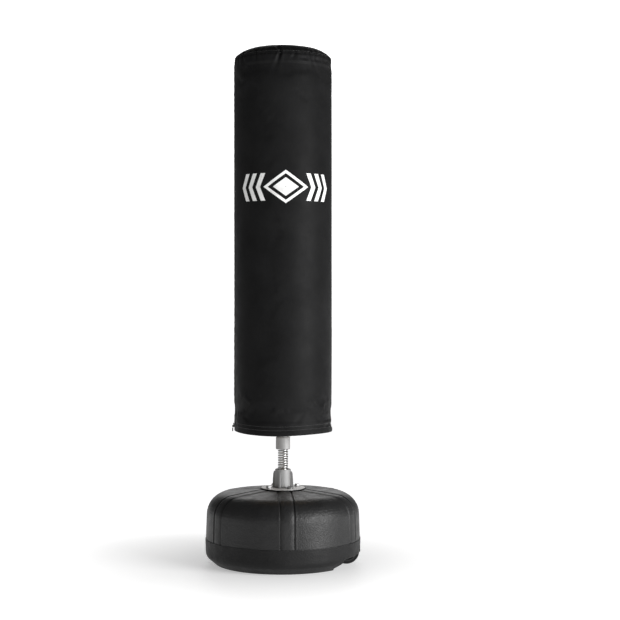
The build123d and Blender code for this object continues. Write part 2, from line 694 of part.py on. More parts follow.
clamp_screws.part.label = "clamp_screws"
export_step(clamp_screws.part, "parts/clamp_screws.step")

with BuildPart() as bottom_disc:
    with BuildSketch(Plane.XY.offset(CLAMP_TOP)):
        Circle(DISC_RADIUS)
        Circle(POST_RADIUS + POST_GAP, mode=Mode.SUBTRACT)
        with PolarLocations(CLAMP_SCREW_CIRCLE, BOLT_COUNT):
            Circle(CLAMP_SCREW_RADIUS, mode=Mode.SUBTRACT)
    extrude(amount=BOTTOM_DISC_THICKNESS)

bottom_disc.part.label = "bottom_disc"
export_step(bottom_disc.part, "parts/bottom_disc.step")

with BuildPart() as core_tube:
    with BuildSketch(Plane.XY.offset(BOTTOM_DISC_TOP)):
        Circle(CORE_RADIUS)
        Circle(CORE_RADIUS - CORE_WALL, mode=Mode.SUBTRACT)
    extrude(amount=CORE_TOP - BOTTOM_DISC_TOP)

core_tube.part.label = "core_tube"
export_step(core_tube.part, "parts/core_tube.step")

with BuildPart() as top_disc:
    with BuildSketch(Plane.XY.offset(CORE_TOP)):
        Circle(DISC_RADIUS)
    extrude(amount=TOP_DISC_THICKNESS)

top_disc.part.label = "top_disc"
export_step(top_disc.part, "parts/top_disc.step")

# ---------------------------------------------------------------- bag padding
with BuildPart() as foam_core:
    with BuildSketch(Plane.XY.offset(BOTTOM_DISC_TOP)):
        Circle(FOAM_RADIUS)
        Circle(CORE_RADIUS, mode=Mode.SUBTRACT)
    extrude(amount=CORE_TOP - BOTTOM_DISC_TOP)

foam_core.part.label = "foam_core"
export_step(foam_core.part, "parts/foam_core.step")

pad_inset = COVER_THICKNESS + SOFT_GAP
pad_radius = BAG_RADIUS - pad_inset

with BuildPart() as top_pad:
    with BuildSketch(Plane.XZ):
        with BuildLine():
            apex, brim = dome_arcs(pad_inset)
            Polyline(apex, (0, TOP_DISC_TOP), (pad_radius, TOP_DISC_TOP), brim)
        make_face()
    revolve(axis=Axis.Z)

top_pad.part.label = "top_pad"
export_step(top_pad.part, "parts/top_pad.step")

# ---------------------------------------------------------------- bag cover
with BuildPart() as cover_side:
    with BuildSketch(Plane.XY.offset(HEM_BOTTOM + HEM_HEIGHT)):
        Circle(BAG_RADIUS)
        Circle(BAG_RADIUS - COVER_THICKNESS, mode=Mode.SUBTRACT)
    extrude(amount=SHOULDER_LEVEL - HEM_BOTTOM - HEM_HEIGHT)

cover_side.part.label = "cover_side"
export_step(cover_side.part, "parts/cover_side.step")

with BuildPart() as cover_top:
    with BuildSketch(Plane.XZ):
        with BuildLine():
            outer_apex, outer_brim = dome_arcs(0)
            inner_apex, inner_brim = dome_arcs(COVER_THICKNESS)
            Line(outer_apex, inner_apex)
            Line(outer_brim, inner_brim)
        make_face()
    revolve(axis=Axis.Z)

cover_top.part.label = "cover_top"
export_step(cover_top.part, "parts/cover_top.step")

with BuildPart() as top_seam:
    with BuildSketch(Plane.XY.offset(SHOULDER_LEVEL - SEAM_HEIGHT)):
        Circle(BAG_RADIUS + SEAM_OUT)
        Circle(BAG_RADIUS, mode=Mode.SUBTRACT)
    extrude(amount=SEAM_HEIGHT)
    fillet(top_seam.edges().group_by(Axis.Z)[-1].sort_by(SortBy.RADIUS)[-1], radius=0.5)

top_seam.part.label = "top_seam"
export_step(top_seam.part, "parts/top_seam.step")

with BuildPart() as hem_binding:
    with BuildSketch(Plane.XY.offset(HEM_BOTTOM)):
        Circle(BAG_RADIUS + HEM_OUT)
        Circle(BAG_RADIUS - COVER_THICKNESS, mode=Mode.SUBTRACT)
    extrude(amount=HEM_HEIGHT)
    fillet(hem_binding.edges().group_by(Axis.Z)[0], radius=1.5)

hem_binding.part.label = "hem_binding"
export_step(hem_binding.part, "parts/hem_binding.step")

# ---------------------------------------------------------------- zip
with BuildPart() as zip_tape:
    with BuildSketch(Plane.XY.offset(ZIP_BOTTOM)):
        Circle(TAPE_FACE)
        Circle(BAG_RADIUS, mode=Mode.SUBTRACT)
        with Locations((-TAPE_FACE, 0)):
            Rectangle(TAPE_FACE, 2 * TAPE_HALF_WIDTH, mode=Mode.INTERSECT)
    extrude(amount=ZIP_TOP - ZIP_BOTTOM)

zip_tape.part.label = "zip_tape"
export_step(zip_tape.part, "parts/zip_tape.step")

with BuildPart() as zip_chain:
    with BuildSketch(Plane.XY.offset(ZIP_BOTTOM)):
        Circle(CHAIN_FACE)
        Circle(TAPE_FACE, mode=Mode.SUBTRACT)
        with Locations((-TAPE_FACE, 0)):
            Rectangle(TAPE_FACE, 2 * CHAIN_HALF_WIDTH, mode=Mode.INTERSECT)
    extrude(amount=ZIP_TOP - ZIP_BOTTOM)

zip_chain.part.label = "zip_chain"
export_step(zip_chain.part, "parts/zip_chain.step")

with BuildPart() as zip_slider:
    with BuildSketch(Plane.XY.offset(SLIDER_BOTTOM)):
        with Locations((-SLIDER_FACE, 0)):
            Rectangle(
                SLIDER_FACE - TAPE_FACE - SLIDER_GAP,
                2 * SLIDER_HALF_WIDTH,
                align=(Align.MIN, Align.CENTER),
            )
        with Locations((-CHAIN_FACE - SLIDER_GAP, 0)):
            Rectangle(
                CHAIN_FACE,
                2 * (CHAIN_HALF_WIDTH + SLIDER_GAP),
                align=(Align.MIN, Align.CENTER),
                mode=Mode.SUBTRACT,
            )
    extrude(amount=SLIDER_LENGTH)
    with BuildSketch(Plane.XZ.offset(-SLIDER_LUG_HALF_WIDTH)):
        with Locations((-SLIDER_FACE, SLIDER_BOTTOM)):
            Rectangle(SLIDER_LUG_OUT, SLIDER_LUG_LENGTH, align=(Align.MAX, Align.MIN))
        with Locations((-PULL_PIVOT_X, PULL_PIVOT_Z)):
            Circle(PULL_PIN_RADIUS + AXLE_FIT, mode=Mode.SUBTRACT)
    extrude(amount=2 * SLIDER_LUG_HALF_WIDTH)

zip_slider.part.label = "zip_slider"
export_step(zip_slider.part, "parts/zip_slider.step")

fork_half_width = SLIDER_LUG_HALF_WIDTH + SLIDER_GAP

with BuildPart() as zip_pull:
    with BuildSketch(Plane.YZ.offset(-PULL_PIVOT_X - PULL_THICKNESS / 2)):
        with Locations((0, PULL_PIVOT_Z + PULL_FORK_WIDTH)):
            Rectangle(
                2 * PULL_HALF_WIDTH,
                PULL_LENGTH + PULL_FORK_WIDTH,
                align=(Align.CENTER, Align.MAX),
            )
            Rectangle(
                2 * fork_half_width,
                SLIDER_LUG_LENGTH + PULL_FORK_WIDTH,
                align=(Align.CENTER, Align.MAX),
                mode=Mode.SUBTRACT,
            )
    extrude(amount=PULL_THICKNESS)
    with BuildSketch(Plane.XZ.offset(-PULL_HALF_WIDTH)):
        with Locations((-PULL_PIVOT_X, PULL_PIVOT_Z)):
            Circle(PULL_PIN_RADIUS)
    extrude(amount=2 * PULL_HALF_WIDTH)

zip_pull.part.label = "zip_pull"
export_step(zip_pull.part, "parts/zip_pull.step")
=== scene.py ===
import math
import bpy
import bmesh
import numpy as np
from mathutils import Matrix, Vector
from mathutils.bvhtree import BVHTree


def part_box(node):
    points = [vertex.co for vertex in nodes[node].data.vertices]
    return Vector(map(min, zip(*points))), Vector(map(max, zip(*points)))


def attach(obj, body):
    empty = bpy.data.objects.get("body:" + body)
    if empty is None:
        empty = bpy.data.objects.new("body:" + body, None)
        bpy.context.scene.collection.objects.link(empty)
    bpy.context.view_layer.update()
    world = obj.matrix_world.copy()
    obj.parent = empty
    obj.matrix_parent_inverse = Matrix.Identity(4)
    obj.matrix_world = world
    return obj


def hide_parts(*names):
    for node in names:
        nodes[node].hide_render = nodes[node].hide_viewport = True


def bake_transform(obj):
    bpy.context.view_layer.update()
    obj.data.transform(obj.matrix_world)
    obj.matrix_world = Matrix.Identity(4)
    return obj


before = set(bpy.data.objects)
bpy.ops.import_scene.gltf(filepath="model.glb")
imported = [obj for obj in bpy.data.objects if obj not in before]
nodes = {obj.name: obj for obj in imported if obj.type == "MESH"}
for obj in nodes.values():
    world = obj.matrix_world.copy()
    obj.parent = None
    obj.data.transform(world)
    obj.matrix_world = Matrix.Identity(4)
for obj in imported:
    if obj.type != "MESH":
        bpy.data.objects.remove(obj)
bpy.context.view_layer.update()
random = np.random.default_rng(7)

# ------------------------------------------------------------ sizes, in metres
TANK_RADIUS, BAND_TOP, BAND_STEP = 0.256, 0.081, 0.0015
FOOT_RADIUS, FOOT_INNER, FOOT_RECESS = 0.223, 0.190, 0.006
CHAMFER_RADIUS, CHAMFER_HEIGHT, CHAMFER_FILLET = 0.2545, 0.027, 0.028
SHOULDER_RADIUS, SHOULDER_HEIGHT, SHOULDER_FILLET = 0.2498, 0.2246, 0.070
SEAT_RADIUS, SEAT_HEIGHT = 0.074, 0.242
RIB_ANGLES = [math.radians(30 + 60 * k) for k in range(6)]
RIB_HALF, RIB_RISE, GROOVE_FLOOR = 0.0225, 0.0008, 0.0031
FILLER, FILLER_BORE = (0.0, 0.150), 0.0131
AXLE = (0.206, 0.042)
WHEEL_Y, WHEEL_RADIUS, RIM_RADIUS = 0.050, 0.041, 0.032
WELL_X, POCKET_Y, LUG_THICKNESS = 0.152, 0.066, 0.012
SOCKET_RADIUS, FLANGE_RADIUS, FLANGE_TOP, FIN_HALF = 0.0262, 0.0728, 0.247, 0.0026
BAG_RADIUS, COVER_THICKNESS = 0.160, 0.0022
SEAM_Z, CROWN_TOP = 1.657, 1.700
HEM_Z, COVER_FOOT = 0.434, 0.441
MARK_Z = 1.227
CAMERA_TURN, CAMERA_DISTANCE, CAMERA_SHIFT, CAMERA_HEIGHT = math.radians(-4.4), 4.4685, 0.0894, 0.8328


# ------------------------------------------------------------ mesh helpers
def mesh_object(name, verts, faces, smooth=True):
    mesh = bpy.data.meshes.new(name)
    mesh.from_pydata(np.asarray(verts, float).tolist(), [], [list(map(int, f)) for f in faces])
    mesh.polygons.foreach_set("use_smooth", [smooth] * len(mesh.polygons))
    mesh.update()
    obj = bpy.data.objects.new(name, mesh)
    bpy.context.scene.collection.objects.link(obj)
    return obj


def grid_faces(rows, cols, closed, first=0):
    """Quads of a grid of rows x cols points, closed round its columns when asked."""
    r = np.arange(rows - 1)[:, None]
    c = np.arange(cols if closed else cols - 1)[None, :]
    n = (c + 1) % cols
    quads = np.stack([r * cols + c, r * cols + n, (r + 1) * cols + n, (r + 1) * cols + c], -1)
    return (quads.reshape(-1, 4) + first).tolist()


class Parts:
    """Gathers several shells into one mesh."""

    def __init__(self):
        self.verts, self.faces = [], []

    def add(self, verts, faces):
        first = len(self.verts)
        self.verts.extend(np.asarray(verts, float).tolist())
        self.faces.extend([[int(i) + first for i in f] for f in faces])

    def grid(self, points, closed=True, caps=False):
        rows, cols = points.shape[:2]
        faces = grid_faces(rows, cols, closed)
        if caps:
            faces.append(list(range(cols))[::-1])
            faces.append([(rows - 1) * cols + c for c in range(cols)])
        self.add(points.reshape(-1, 3), faces)

    def build(self, name, angle=None):
        obj = mesh_object(name, self.verts, self.faces)
        tidy_normals(obj)
        if angle:
            obj.data.set_sharp_from_angle(angle=math.radians(angle))
        return obj


def tidy_normals(obj):
    bm = bmesh.new()
    bm.from_mesh(obj.data)
    bmesh.ops.recalc_face_normals(bm, faces=bm.faces)
    bm.to_mesh(obj.data)
    bm.free()


def rounded(points, radii, steps=8):
    """A polyline whose inner corners are rounded, as (u, v) rows."""
    line = [np.array(points[0], float)]
    for k in range(1, len(points) - 1):
        p, a, b = (np.array(points[i], float) for i in (k, k - 1, k + 1))
        radius = radii[k - 1]
        if radius <= 0:
            line.append(p)
            continue
        u, v = (a - p) / np.linalg.norm(a - p), (b - p) / np.linalg.norm(b - p)
        half = math.acos(np.clip(u @ v, -1, 1)) / 2
        reach = radius / math.tan(half)
        centre = p + (u + v) / np.linalg.norm(u + v) * radius / math.sin(half)
        start, end = p + u * reach - centre, p + v * reach - centre
        turn = math.pi - 2 * half
        side = np.sign(start[0] * end[1] - start[1] * end[0])
        for t in np.linspace(0, 1, steps + 1):
            c, s = math.cos(turn * t * side), math.sin(turn * t * side)
            line.append(centre + np.array([c * start[0] - s * start[1], s * start[0] + c * start[1]]))
    line.append(np.array(points[-1], float))
    return np.array(line)


def resample(line, step):
    """Points along a polyline no further apart than step, keeping its corners."""
    out = [line[0]]
    for a, b in zip(line[:-1], line[1:]):
        count = max(1, math.ceil(np.linalg.norm(b - a) / step))
        out.extend(a + (b - a) * k / count for k in range(1, count + 1))
    return np.array(out)


def lathe_points(profile, cols, centre=(0, 0, 0), axis="Z"):
    """A grid turned about a line through centre: profile rows are (radius, along)."""
    angle = np.linspace(0, 2 * math.pi, cols, endpoint=False)
    r, h = profile[:, 0][:, None], profile[:, 1][:, None]
    a, b = r * np.cos(angle), r * np.sin(angle)
    h = np.broadcast_to(h, a.shape)
    points = np.stack([a, b, h] if axis == "Z" else [a, h, b], -1)
    return points + np.array(centre)


def tube_points(path, radius, sides=10, closed=False):
    """A grid swept along a path of 3-D points; radius is a number or one for each point."""
    path = np.asarray(path, float)
    tangent = np.roll(path, -1, 0) - np.roll(path, 1, 0) if closed else np.gradient(path, axis=0)
    tangent /= np.linalg.norm(tangent, axis=1)[:, None]
    side = np.cross(tangent[0], [0.3, 0.2, 1.0] if abs(tangent[0][2]) < 0.9 else [1.0, 0.2, 0.1])
    side /= np.linalg.norm(side)
    sides_at, radius = [], np.broadcast_to(radius, len(path))
    for t in tangent:
        side = side - t * (side @ t)
        side /= np.linalg.norm(side)
        sides_at.append(side)
    u = np.array(sides_at)
    v = np.cross(tangent, u)
    angle = np.linspace(0, 2 * math.pi, sides, endpoint=False)
    ring = u[:, None] * np.cos(angle)[None, :, None] + v[:, None] * np.sin(angle)[None, :, None]
    points = path[:, None] + ring * radius[:, None, None]
    return np.concatenate([points, points[:1]]) if closed else points


def apply_modifiers(obj):
    bpy.context.view_layer.update()
    graph = bpy.context.evaluated_depsgraph_get()
    mesh = bpy.data.meshes.new_from_object(obj.evaluated_get(graph))
    obj.modifiers.clear()
    old = obj.data
    obj.data = mesh
    bpy.data.meshes.remove(old)


def cut(obj, cutter):
    step = obj.modifiers.new("cut", "BOOLEAN")
    step.operation, step.solver, step.object = "DIFFERENCE", "EXACT", cutter
    apply_modifiers(obj)
    bpy.data.objects.remove(cutter)


def smooth_step(x):
    x = np.clip(x, 0, 1)
    return x * x * (3 - 2 * x)


# ------------------------------------------------------------ materials
class Finish:
    """A Principled material built from object-space noise."""

    def __init__(self, name, colour, rough, metal=0.0, ior=1.45, coat=0.0, sheen=0.0):
        self.mat = bpy.data.materials.new(name)
        self.mat.use_nodes = True
        self.tree = self.mat.node_tree
        self.shader = self.tree.nodes["Principled BSDF"]
        self.set("Base Color", (*colour, 1))
        self.set("Roughness", rough)
        self.set("Metallic", metal)
        self.set("IOR", ior)
        self.set("Coat Weight", coat)
        self.set("Sheen Weight", sheen)
        self.where = self.tree.nodes.new("ShaderNodeTexCoord").outputs["Object"]
        self.normal = None

    def set(self, socket, value):
        self.shader.inputs[socket].default_value = value

    def node(self, kind, **values):
        made = self.tree.nodes.new("ShaderNode" + kind)
        for key, value in values.items():
            if hasattr(made, key):
                setattr(made, key, value)
            else:
                made.inputs[key.replace("_", " ").title()].default_value = value
        return made

    def link(self, a, b):
        self.tree.links.new(a, b)

    def stretched(self, scale):
        """Object coordinates scaled along each axis."""
        step = self.node("Mapping")
        step.inputs["Scale"].default_value = scale
        self.link(self.where, step.inputs["Vector"])
        return step.outputs["Vector"]

    def noise(self, scale, detail=3.0, roughness=0.55, stretch=None, distortion=0.0):
        step = self.node("TexNoise", scale=scale, detail=detail, roughness=roughness,
                         distortion=distortion)
        self.link(self.stretched(stretch) if stretch else self.where, step.inputs["Vector"])
        return step.outputs["Fac"]

    def cells(self, scale, feature="F1", stretch=None):
        step = self.node("TexVoronoi", feature=feature, scale=scale)
        self.link(self.stretched(stretch) if stretch else self.where, step.inputs["Vector"])
        return step.outputs["Distance"]

    def waves(self, scale, direction, distortion=0.0, detail=2.0, profile="SIN"):
        step = self.node("TexWave", bands_direction=direction, wave_profile=profile, scale=scale,
                         distortion=distortion, detail=detail)
        self.link(self.where, step.inputs["Vector"])
        return step.outputs["Fac"]

    def ramp(self, value, low, high, start=0.3, end=0.7):
        """Maps start..end of a value onto low..high, clamped."""
        step = self.node("MapRange")
        step.inputs["From Min"].default_value, step.inputs["From Max"].default_value = start, end
        step.inputs["To Min"].default_value, step.inputs["To Max"].default_value = low, high
        self.link(value, step.inputs["Value"])
        return step.outputs["Result"]

    def distance(self):
        """Distance from the origin of the object."""
        step = self.node("VectorMath", operation="LENGTH")
        self.link(self.where, step.inputs[0])
        return step.outputs["Value"]

    def tint(self, value, dark, light, start=0.3, end=0.7):
        step = self.node("ValToRGB")
        step.color_ramp.elements[0].position, step.color_ramp.elements[1].position = start, end
        step.color_ramp.elements[0].color, step.color_ramp.elements[1].color = (*dark, 1), (*light, 1)
        self.link(value, step.inputs["Fac"])
        return step.outputs["Color"]

    def paint(self, value, dark, light, start=0.3, end=0.7):
        self.link(self.tint(value, dark, light, start, end), self.shader.inputs["Base Color"])

    def rough(self, value, low, high, start=0.3, end=0.7):
        self.link(self.ramp(value, low, high, start, end), self.shader.inputs["Roughness"])

    def bump(self, height, depth, strength=1.0):
        """Adds a layer of relief, depth in metres."""
        step = self.node("Bump", strength=strength, distance=depth)
        self.link(height, step.inputs["Height"])
        if self.normal:
            self.link(self.normal, step.inputs["Normal"])
        self.normal = step.outputs["Normal"]
        self.link(self.normal, self.shader.inputs["Normal"])

    def on(self, *objects):
        for obj in objects:
            obj = nodes[obj] if isinstance(obj, str) else obj
            obj.data.materials.clear()
            obj.data.materials.append(self.mat)


def grey(value):
    return (value, value, value)


def moulded(name, dark, light, rough, grain, depth, ior=1.46):
    """Moulded plastic with a pebbled grain."""
    finish = Finish(name, dark, rough, ior=ior)
    finish.paint(finish.noise(9, 5, 0.6), dark, light)
    finish.rough(finish.noise(38, 4, 0.6), rough - 0.06, rough + 0.08)
    finish.bump(finish.noise(grain * 0.42, 3, 0.6), depth * 1.6, 0.7)
    finish.bump(finish.cells(grain, "SMOOTH_F1"), depth)
    finish.bump(finish.noise(grain * 2.6, 3, 0.6), depth * 0.5)
    return finish


def metal(name, dark, light, rough, metallic, patch, depth):
    """Coated or plated steel: faint patches and fine orange peel."""
    finish = Finish(name, dark, rough, metal=metallic)
    finish.paint(finish.noise(patch, 4, 0.6), dark, light)
    finish.rough(finish.noise(patch * 4, 3, 0.6), rough - 0.07, rough + 0.09)
    finish.bump(finish.noise(900, 3, 0.55), depth)
    finish.bump(finish.noise(260, 2, 0.5), depth * 1.5, 0.6)
    return finish


tank_plastic = moulded("tank_plastic", (0.0075, 0.0075, 0.0078), (0.0185, 0.0185, 0.0188),
                       0.44, 240, 0.00060)
tank_plastic.set("Specular IOR Level", 0.43)
# the band at the foot takes a darker copy of the tank's plastic with weaker reflection: painted shade for
# the dimmer light at the foot
shaded_band_plastic = moulded("shaded_band_plastic", (0.006, 0.006, 0.0062), (0.0150, 0.0150, 0.0153),
                       0.50, 240, 0.00060)
shaded_band_plastic.set("Specular IOR Level", 0.24)
cap_plastic = moulded("cap_plastic", (0.012, 0.012, 0.012), (0.022, 0.022, 0.022), 0.34, 700, 0.00008)
wheel_plastic = moulded("wheel_plastic", (0.008, 0.008, 0.008), (0.016, 0.016, 0.016), 0.48, 520, 0.00012)
bush_plastic = moulded("bush_plastic", (0.50, 0.50, 0.47), (0.62, 0.61, 0.57), 0.38, 900, 0.00005)
core_plastic = moulded("core_plastic", (0.36, 0.37, 0.38), (0.46, 0.47, 0.48), 0.40, 800, 0.00005)

tyre_rubber = Finish("tyre_rubber", grey(0.006), 0.62, ior=1.3)
tyre_rubber.paint(tyre_rubber.noise(60, 5, 0.6), grey(0.004), grey(0.011), 0.35, 0.75)
tyre_rubber.rough(tyre_rubber.noise(120, 3, 0.6), 0.5, 0.72)
tyre_rubber.bump(tyre_rubber.noise(1100, 3, 0.6), 0.00018)

silver_paint = metal("silver_paint", grey(0.31), grey(0.40), 0.58, 0.35, 22, 0.00010)
# a brighter copy of the neck's paint for the flange plate, which faces up: painted light
lit_flange_steel = metal("lit_flange_steel", grey(0.58), grey(0.74), 0.46, 0.30, 40, 0.00010)
galvanised = metal("galvanised_steel", grey(0.26), grey(0.40), 0.36, 0.92, 60, 0.00006)
galvanised.bump(galvanised.cells(170), 0.00006, 0.5)
spring_steel = metal("spring_steel", grey(0.50), grey(0.64), 0.22, 1.0, 90, 0.00003)
zip_metal = metal("zip_metal", grey(0.030), grey(0.055), 0.34, 0.85, 120, 0.00003)
# welds in a dark grey: painted shade for the corners where fins meet tube and flange
shaded_weld_steel = metal("shaded_weld_steel", grey(0.13), grey(0.26), 0.42, 0.75, 160, 0.00025)

plywood = Finish("plywood", (0.52, 0.38, 0.22), 0.62)
plywood.paint(plywood.noise(5, 6, 0.65, stretch=(1.0, 9.0, 40.0), distortion=1.2),
              (0.42, 0.29, 0.16), (0.62, 0.46, 0.28))
plywood.bump(plywood.noise(60, 4, 0.6, stretch=(1.0, 12.0, 20.0)), 0.0003)

foam_skin = Finish("foam", (0.05, 0.05, 0.055), 0.9, sheen=0.1)
foam_skin.paint(foam_skin.noise(30, 5, 0.7), (0.035, 0.035, 0.038), (0.075, 0.075, 0.08))
foam_skin.bump(foam_skin.cells(650), 0.0008)

water = Finish("water", (0.42, 0.52, 0.55), 0.06, ior=1.33)
water.paint(water.noise(4, 3, 0.5), (0.36, 0.46, 0.50), (0.48, 0.57, 0.60))
water.bump(water.noise(14, 3, 0.5), 0.001, 0.4)

cover_leather = Finish("cover_leather", grey(0.010), 0.5, ior=1.13)
cover_leather.paint(cover_leather.noise(7, 6, 0.6), (0.0078, 0.0078, 0.0080), (0.0138, 0.0138, 0.0141))
cover_leather.rough(cover_leather.noise(26, 4, 0.6), 0.42, 0.54)
cover_leather.bump(cover_leather.noise(16, 3, 0.5, stretch=(1.0, 1.0, 0.5)), 0.0012, 0.5)
cover_leather.bump(cover_leather.cells(620, "SMOOTH_F1"), 0.00014)
cover_leather.bump(cover_leather.noise(1500, 3, 0.6), 0.00010)

webbing = Finish("webbing", grey(0.010), 0.72, ior=1.35, sheen=0.15)
webbing.paint(webbing.waves(260, "DIAGONAL", 1.0), grey(0.007), grey(0.018))
webbing.bump(webbing.waves(300, "Z"), 0.00020)
webbing.bump(webbing.waves(300, "X"), 0.00015)

thread = Finish("thread", grey(0.045), 0.55, ior=1.4, sheen=0.3)
thread.paint(thread.noise(400, 3, 0.6), grey(0.030), grey(0.070))
thread.bump(thread.waves(1500, "DIAGONAL", 0.5), 0.00010)

print_white = Finish("print_white", (0.80, 0.80, 0.79), 0.46, ior=1.4)
print_white.paint(print_white.noise(60, 6, 0.7), (0.70, 0.70, 0.69), (0.86, 0.86, 0.85), 0.25, 0.5)
print_white.bump(print_white.cells(620, "SMOOTH_F1"), 0.00012)

# ------------------------------------------------------------ tank
OUTLINE = rounded(
    [(0.020, FOOT_RECESS), (FOOT_INNER, FOOT_RECESS), (FOOT_INNER + FOOT_RECESS, 0), (FOOT_RADIUS, 0),
     (CHAMFER_RADIUS, CHAMFER_HEIGHT), (TANK_RADIUS, BAND_TOP),
     (TANK_RADIUS - BAND_STEP - 0.0004, BAND_TOP + 0.0004), (SHOULDER_RADIUS, SHOULDER_HEIGHT),
     (SEAT_RADIUS, SEAT_HEIGHT), (0.020, SEAT_HEIGHT)],
    [0.003, 0.003, 0.006, CHAMFER_FILLET, 0.0008, 0.0004, SHOULDER_FILLET, 0.006], 10)


def outer_radius(z):
    """Radius of the tank's wall, without ribs, at a height below the shoulder."""
    wall = OUTLINE[(OUTLINE[:, 0] > FOOT_INNER + 0.004) & (OUTLINE[:, 1] < 0.19)]
    order = np.argsort(wall[:, 1], kind="stable")
    return np.interp(z, wall[order, 1], wall[order, 0])


def tank_body():
    """The tank's outer skin: the turned outline with six ribs that run over roof and wall."""
    line = resample(OUTLINE, 0.0032)
    tangent = np.gradient(line, axis=0)
    tangent /= np.linalg.norm(tangent, axis=1)[:, None]
    normal = np.stack([tangent[:, 1], -tangent[:, 0]], 1)
    # distances from the middle of a rib, closest together in the groove along its edge
    across = np.concatenate([[0, 5, 9, 12.5, 15.5, 18, 20, 21.2, 22], np.arange(22.5, 25.3, 0.3),
                             [25.6, 26.2, 27, 27.8, 29]]) / 1000
    across = np.concatenate([-across[:0:-1], across])
    spread = np.arcsin(np.clip(across[None, :] / np.maximum(line[:, :1], 0.0605), -1, 1))
    gap = (np.arange(1, 40) / 40)[None, :]
    beyond = 0.030
    angles, offsets = [], []
    for middle in RIB_ANGLES:
        first, last = spread[:, -1:], math.radians(60) + spread[:, :1]
        angles += [middle + spread, middle + first + (last - first) * gap]
        offsets += [np.broadcast_to(across, spread.shape), np.full((len(line), gap.size), beyond)]
    angle, offset = np.concatenate(angles, 1), np.abs(np.concatenate(offsets, 1))
    # a convex strip, the steep outer side of the groove, and a slight swelling beside it
    strip = RIB_RISE - (RIB_RISE + GROOVE_FLOOR) * np.clip(offset / RIB_HALF, 0, 1) ** 4
    side = GROOVE_FLOOR * smooth_step((offset - RIB_HALF - 0.0003) / 0.0022)
    swelling = 0.0004 * np.exp(-((offset - 0.0275) / 0.0014) ** 2)
    # the ribs start above the band and run out before the seat
    above_band = smooth_step((line[:, 1] - BAND_TOP - 0.0006) / 0.0025)
    off_seat = smooth_step((line[:, 0] - SEAT_RADIUS + 0.004) / 0.006)
    lift = (strip + side + swelling) * (above_band * off_seat)[:, None]
    # blow-moulded walls are never quite true: a slow ripple of a few tenths
    radius, height = line[:, :1], line[:, 1:]
    ripple = 0.0006 * np.sin(3 * angle + 9 * height) * np.sin(7 * angle + 1.0 + 14 * height)
    lift = lift + ripple * smooth_step((radius - 0.09) / 0.05) * smooth_step((height - 0.006) / 0.02)
    r = radius + normal[:, :1] * lift
    z = height + normal[:, 1:] * lift
    points = np.stack([r * np.cos(angle), r * np.sin(angle), np.broadcast_to(z, r.shape)], -1)
    parts = Parts()
    parts.grid(points, caps=True)
    return parts.build("tank_shell")


WELL_ARCH = rounded([(-0.174, -0.010), (-0.174, 0.0375), (-0.098, 0.040), (0.098, 0.040),
                     (0.174, 0.0375), (0.174, -0.010)], [0.004, 0.040, 0.040, 0.004], 8)


def prism(outline, low, high, along):
    """A closed prism over a 2-D outline: along X the outline is (y, z), along Y it is (x, z)."""
    ends = []
    for at in (low, high):
        level = np.full(len(outline), at)
        across, up = outline[:, 0], outline[:, 1]
        ends.append(np.stack([level, across, up] if along == "X" else [across, level, up], 1))
    parts = Parts()
    parts.grid(np.array(ends), caps=True)
    return parts.build("prism")


def disc_outline(x, z, radius, count=72):
    turn = np.linspace(0, 2 * math.pi, count, endpoint=False)
    return np.stack([x + radius * np.cos(turn), z + radius * np.sin(turn)], 1)


tank_shell = tank_body()
cut(tank_shell, prism(resample(WELL_ARCH, 0.006), WELL_X, 0.30, "X"))
cut(tank_shell, prism(disc_outline(*AXLE, 0.046), -POCKET_Y, POCKET_Y, "Y"))
cut(tank_shell, prism(disc_outline(*AXLE, 0.0125, 40), -POCKET_Y - 0.020, POCKET_Y + 0.020, "Y"))
mouth = Parts()
mouth.grid(lathe_points(np.array([(FILLER_BORE, 0.1875), (FILLER_BORE, 0.30)]), 48, (*FILLER, 0)), caps=True)
cut(tank_shell, mouth.build("mouth"))
bevel = tank_shell.modifiers.new("edges", "BEVEL")
bevel.width, bevel.segments = 0.0010, 2
bevel.limit_method, bevel.angle_limit = "ANGLE", math.radians(50)
apply_modifiers(tank_shell)
tank_shell.data.set_sharp_from_angle(angle=math.radians(50))
tank_plastic.on(tank_shell)
# faces below the band's top take the darker copy: painted shade on the foot band
tank_shell.data.materials.append(shaded_band_plastic.mat)
for polygon in tank_shell.data.polygons:
    polygon.material_index = int(polygon.center.z < BAND_TOP)

# rolled lip round the mouth of the wheel well, and the parting bead on top of the band
arch = resample(WELL_ARCH, 0.004)
lip_x = np.sqrt(np.maximum(outer_radius(arch[:, 1]) ** 2 - arch[:, 0] ** 2, 0))
lip = np.stack([lip_x, arch[:, 0], arch[:, 1]], 1)[(lip_x > WELL_X + 0.002) & (arch[:, 1] > 0.004)]
lip[:, :2] *= (1 - 0.0010 / np.linalg.norm(lip[:, :2], axis=1))[:, None]
fade = smooth_step(np.minimum(np.arange(len(lip)), np.arange(len(lip))[::-1]) / 4)
trim = Parts()
trim.grid(tube_points(lip, 0.0004 + 0.0015 * fade, 10), caps=True)
around_band = np.linspace(0, 2 * math.pi, 361)[:-1]
bead_radius = TANK_RADIUS - 0.0006 + 0.00015 * np.sin(5 * around_band)
bead = np.stack([bead_radius * np.cos(around_band), bead_radius * np.sin(around_band),
                 np.full(360, BAND_TOP + 0.0002)], 1)
trim.grid(tube_points(bead, 0.0009, 10, True))


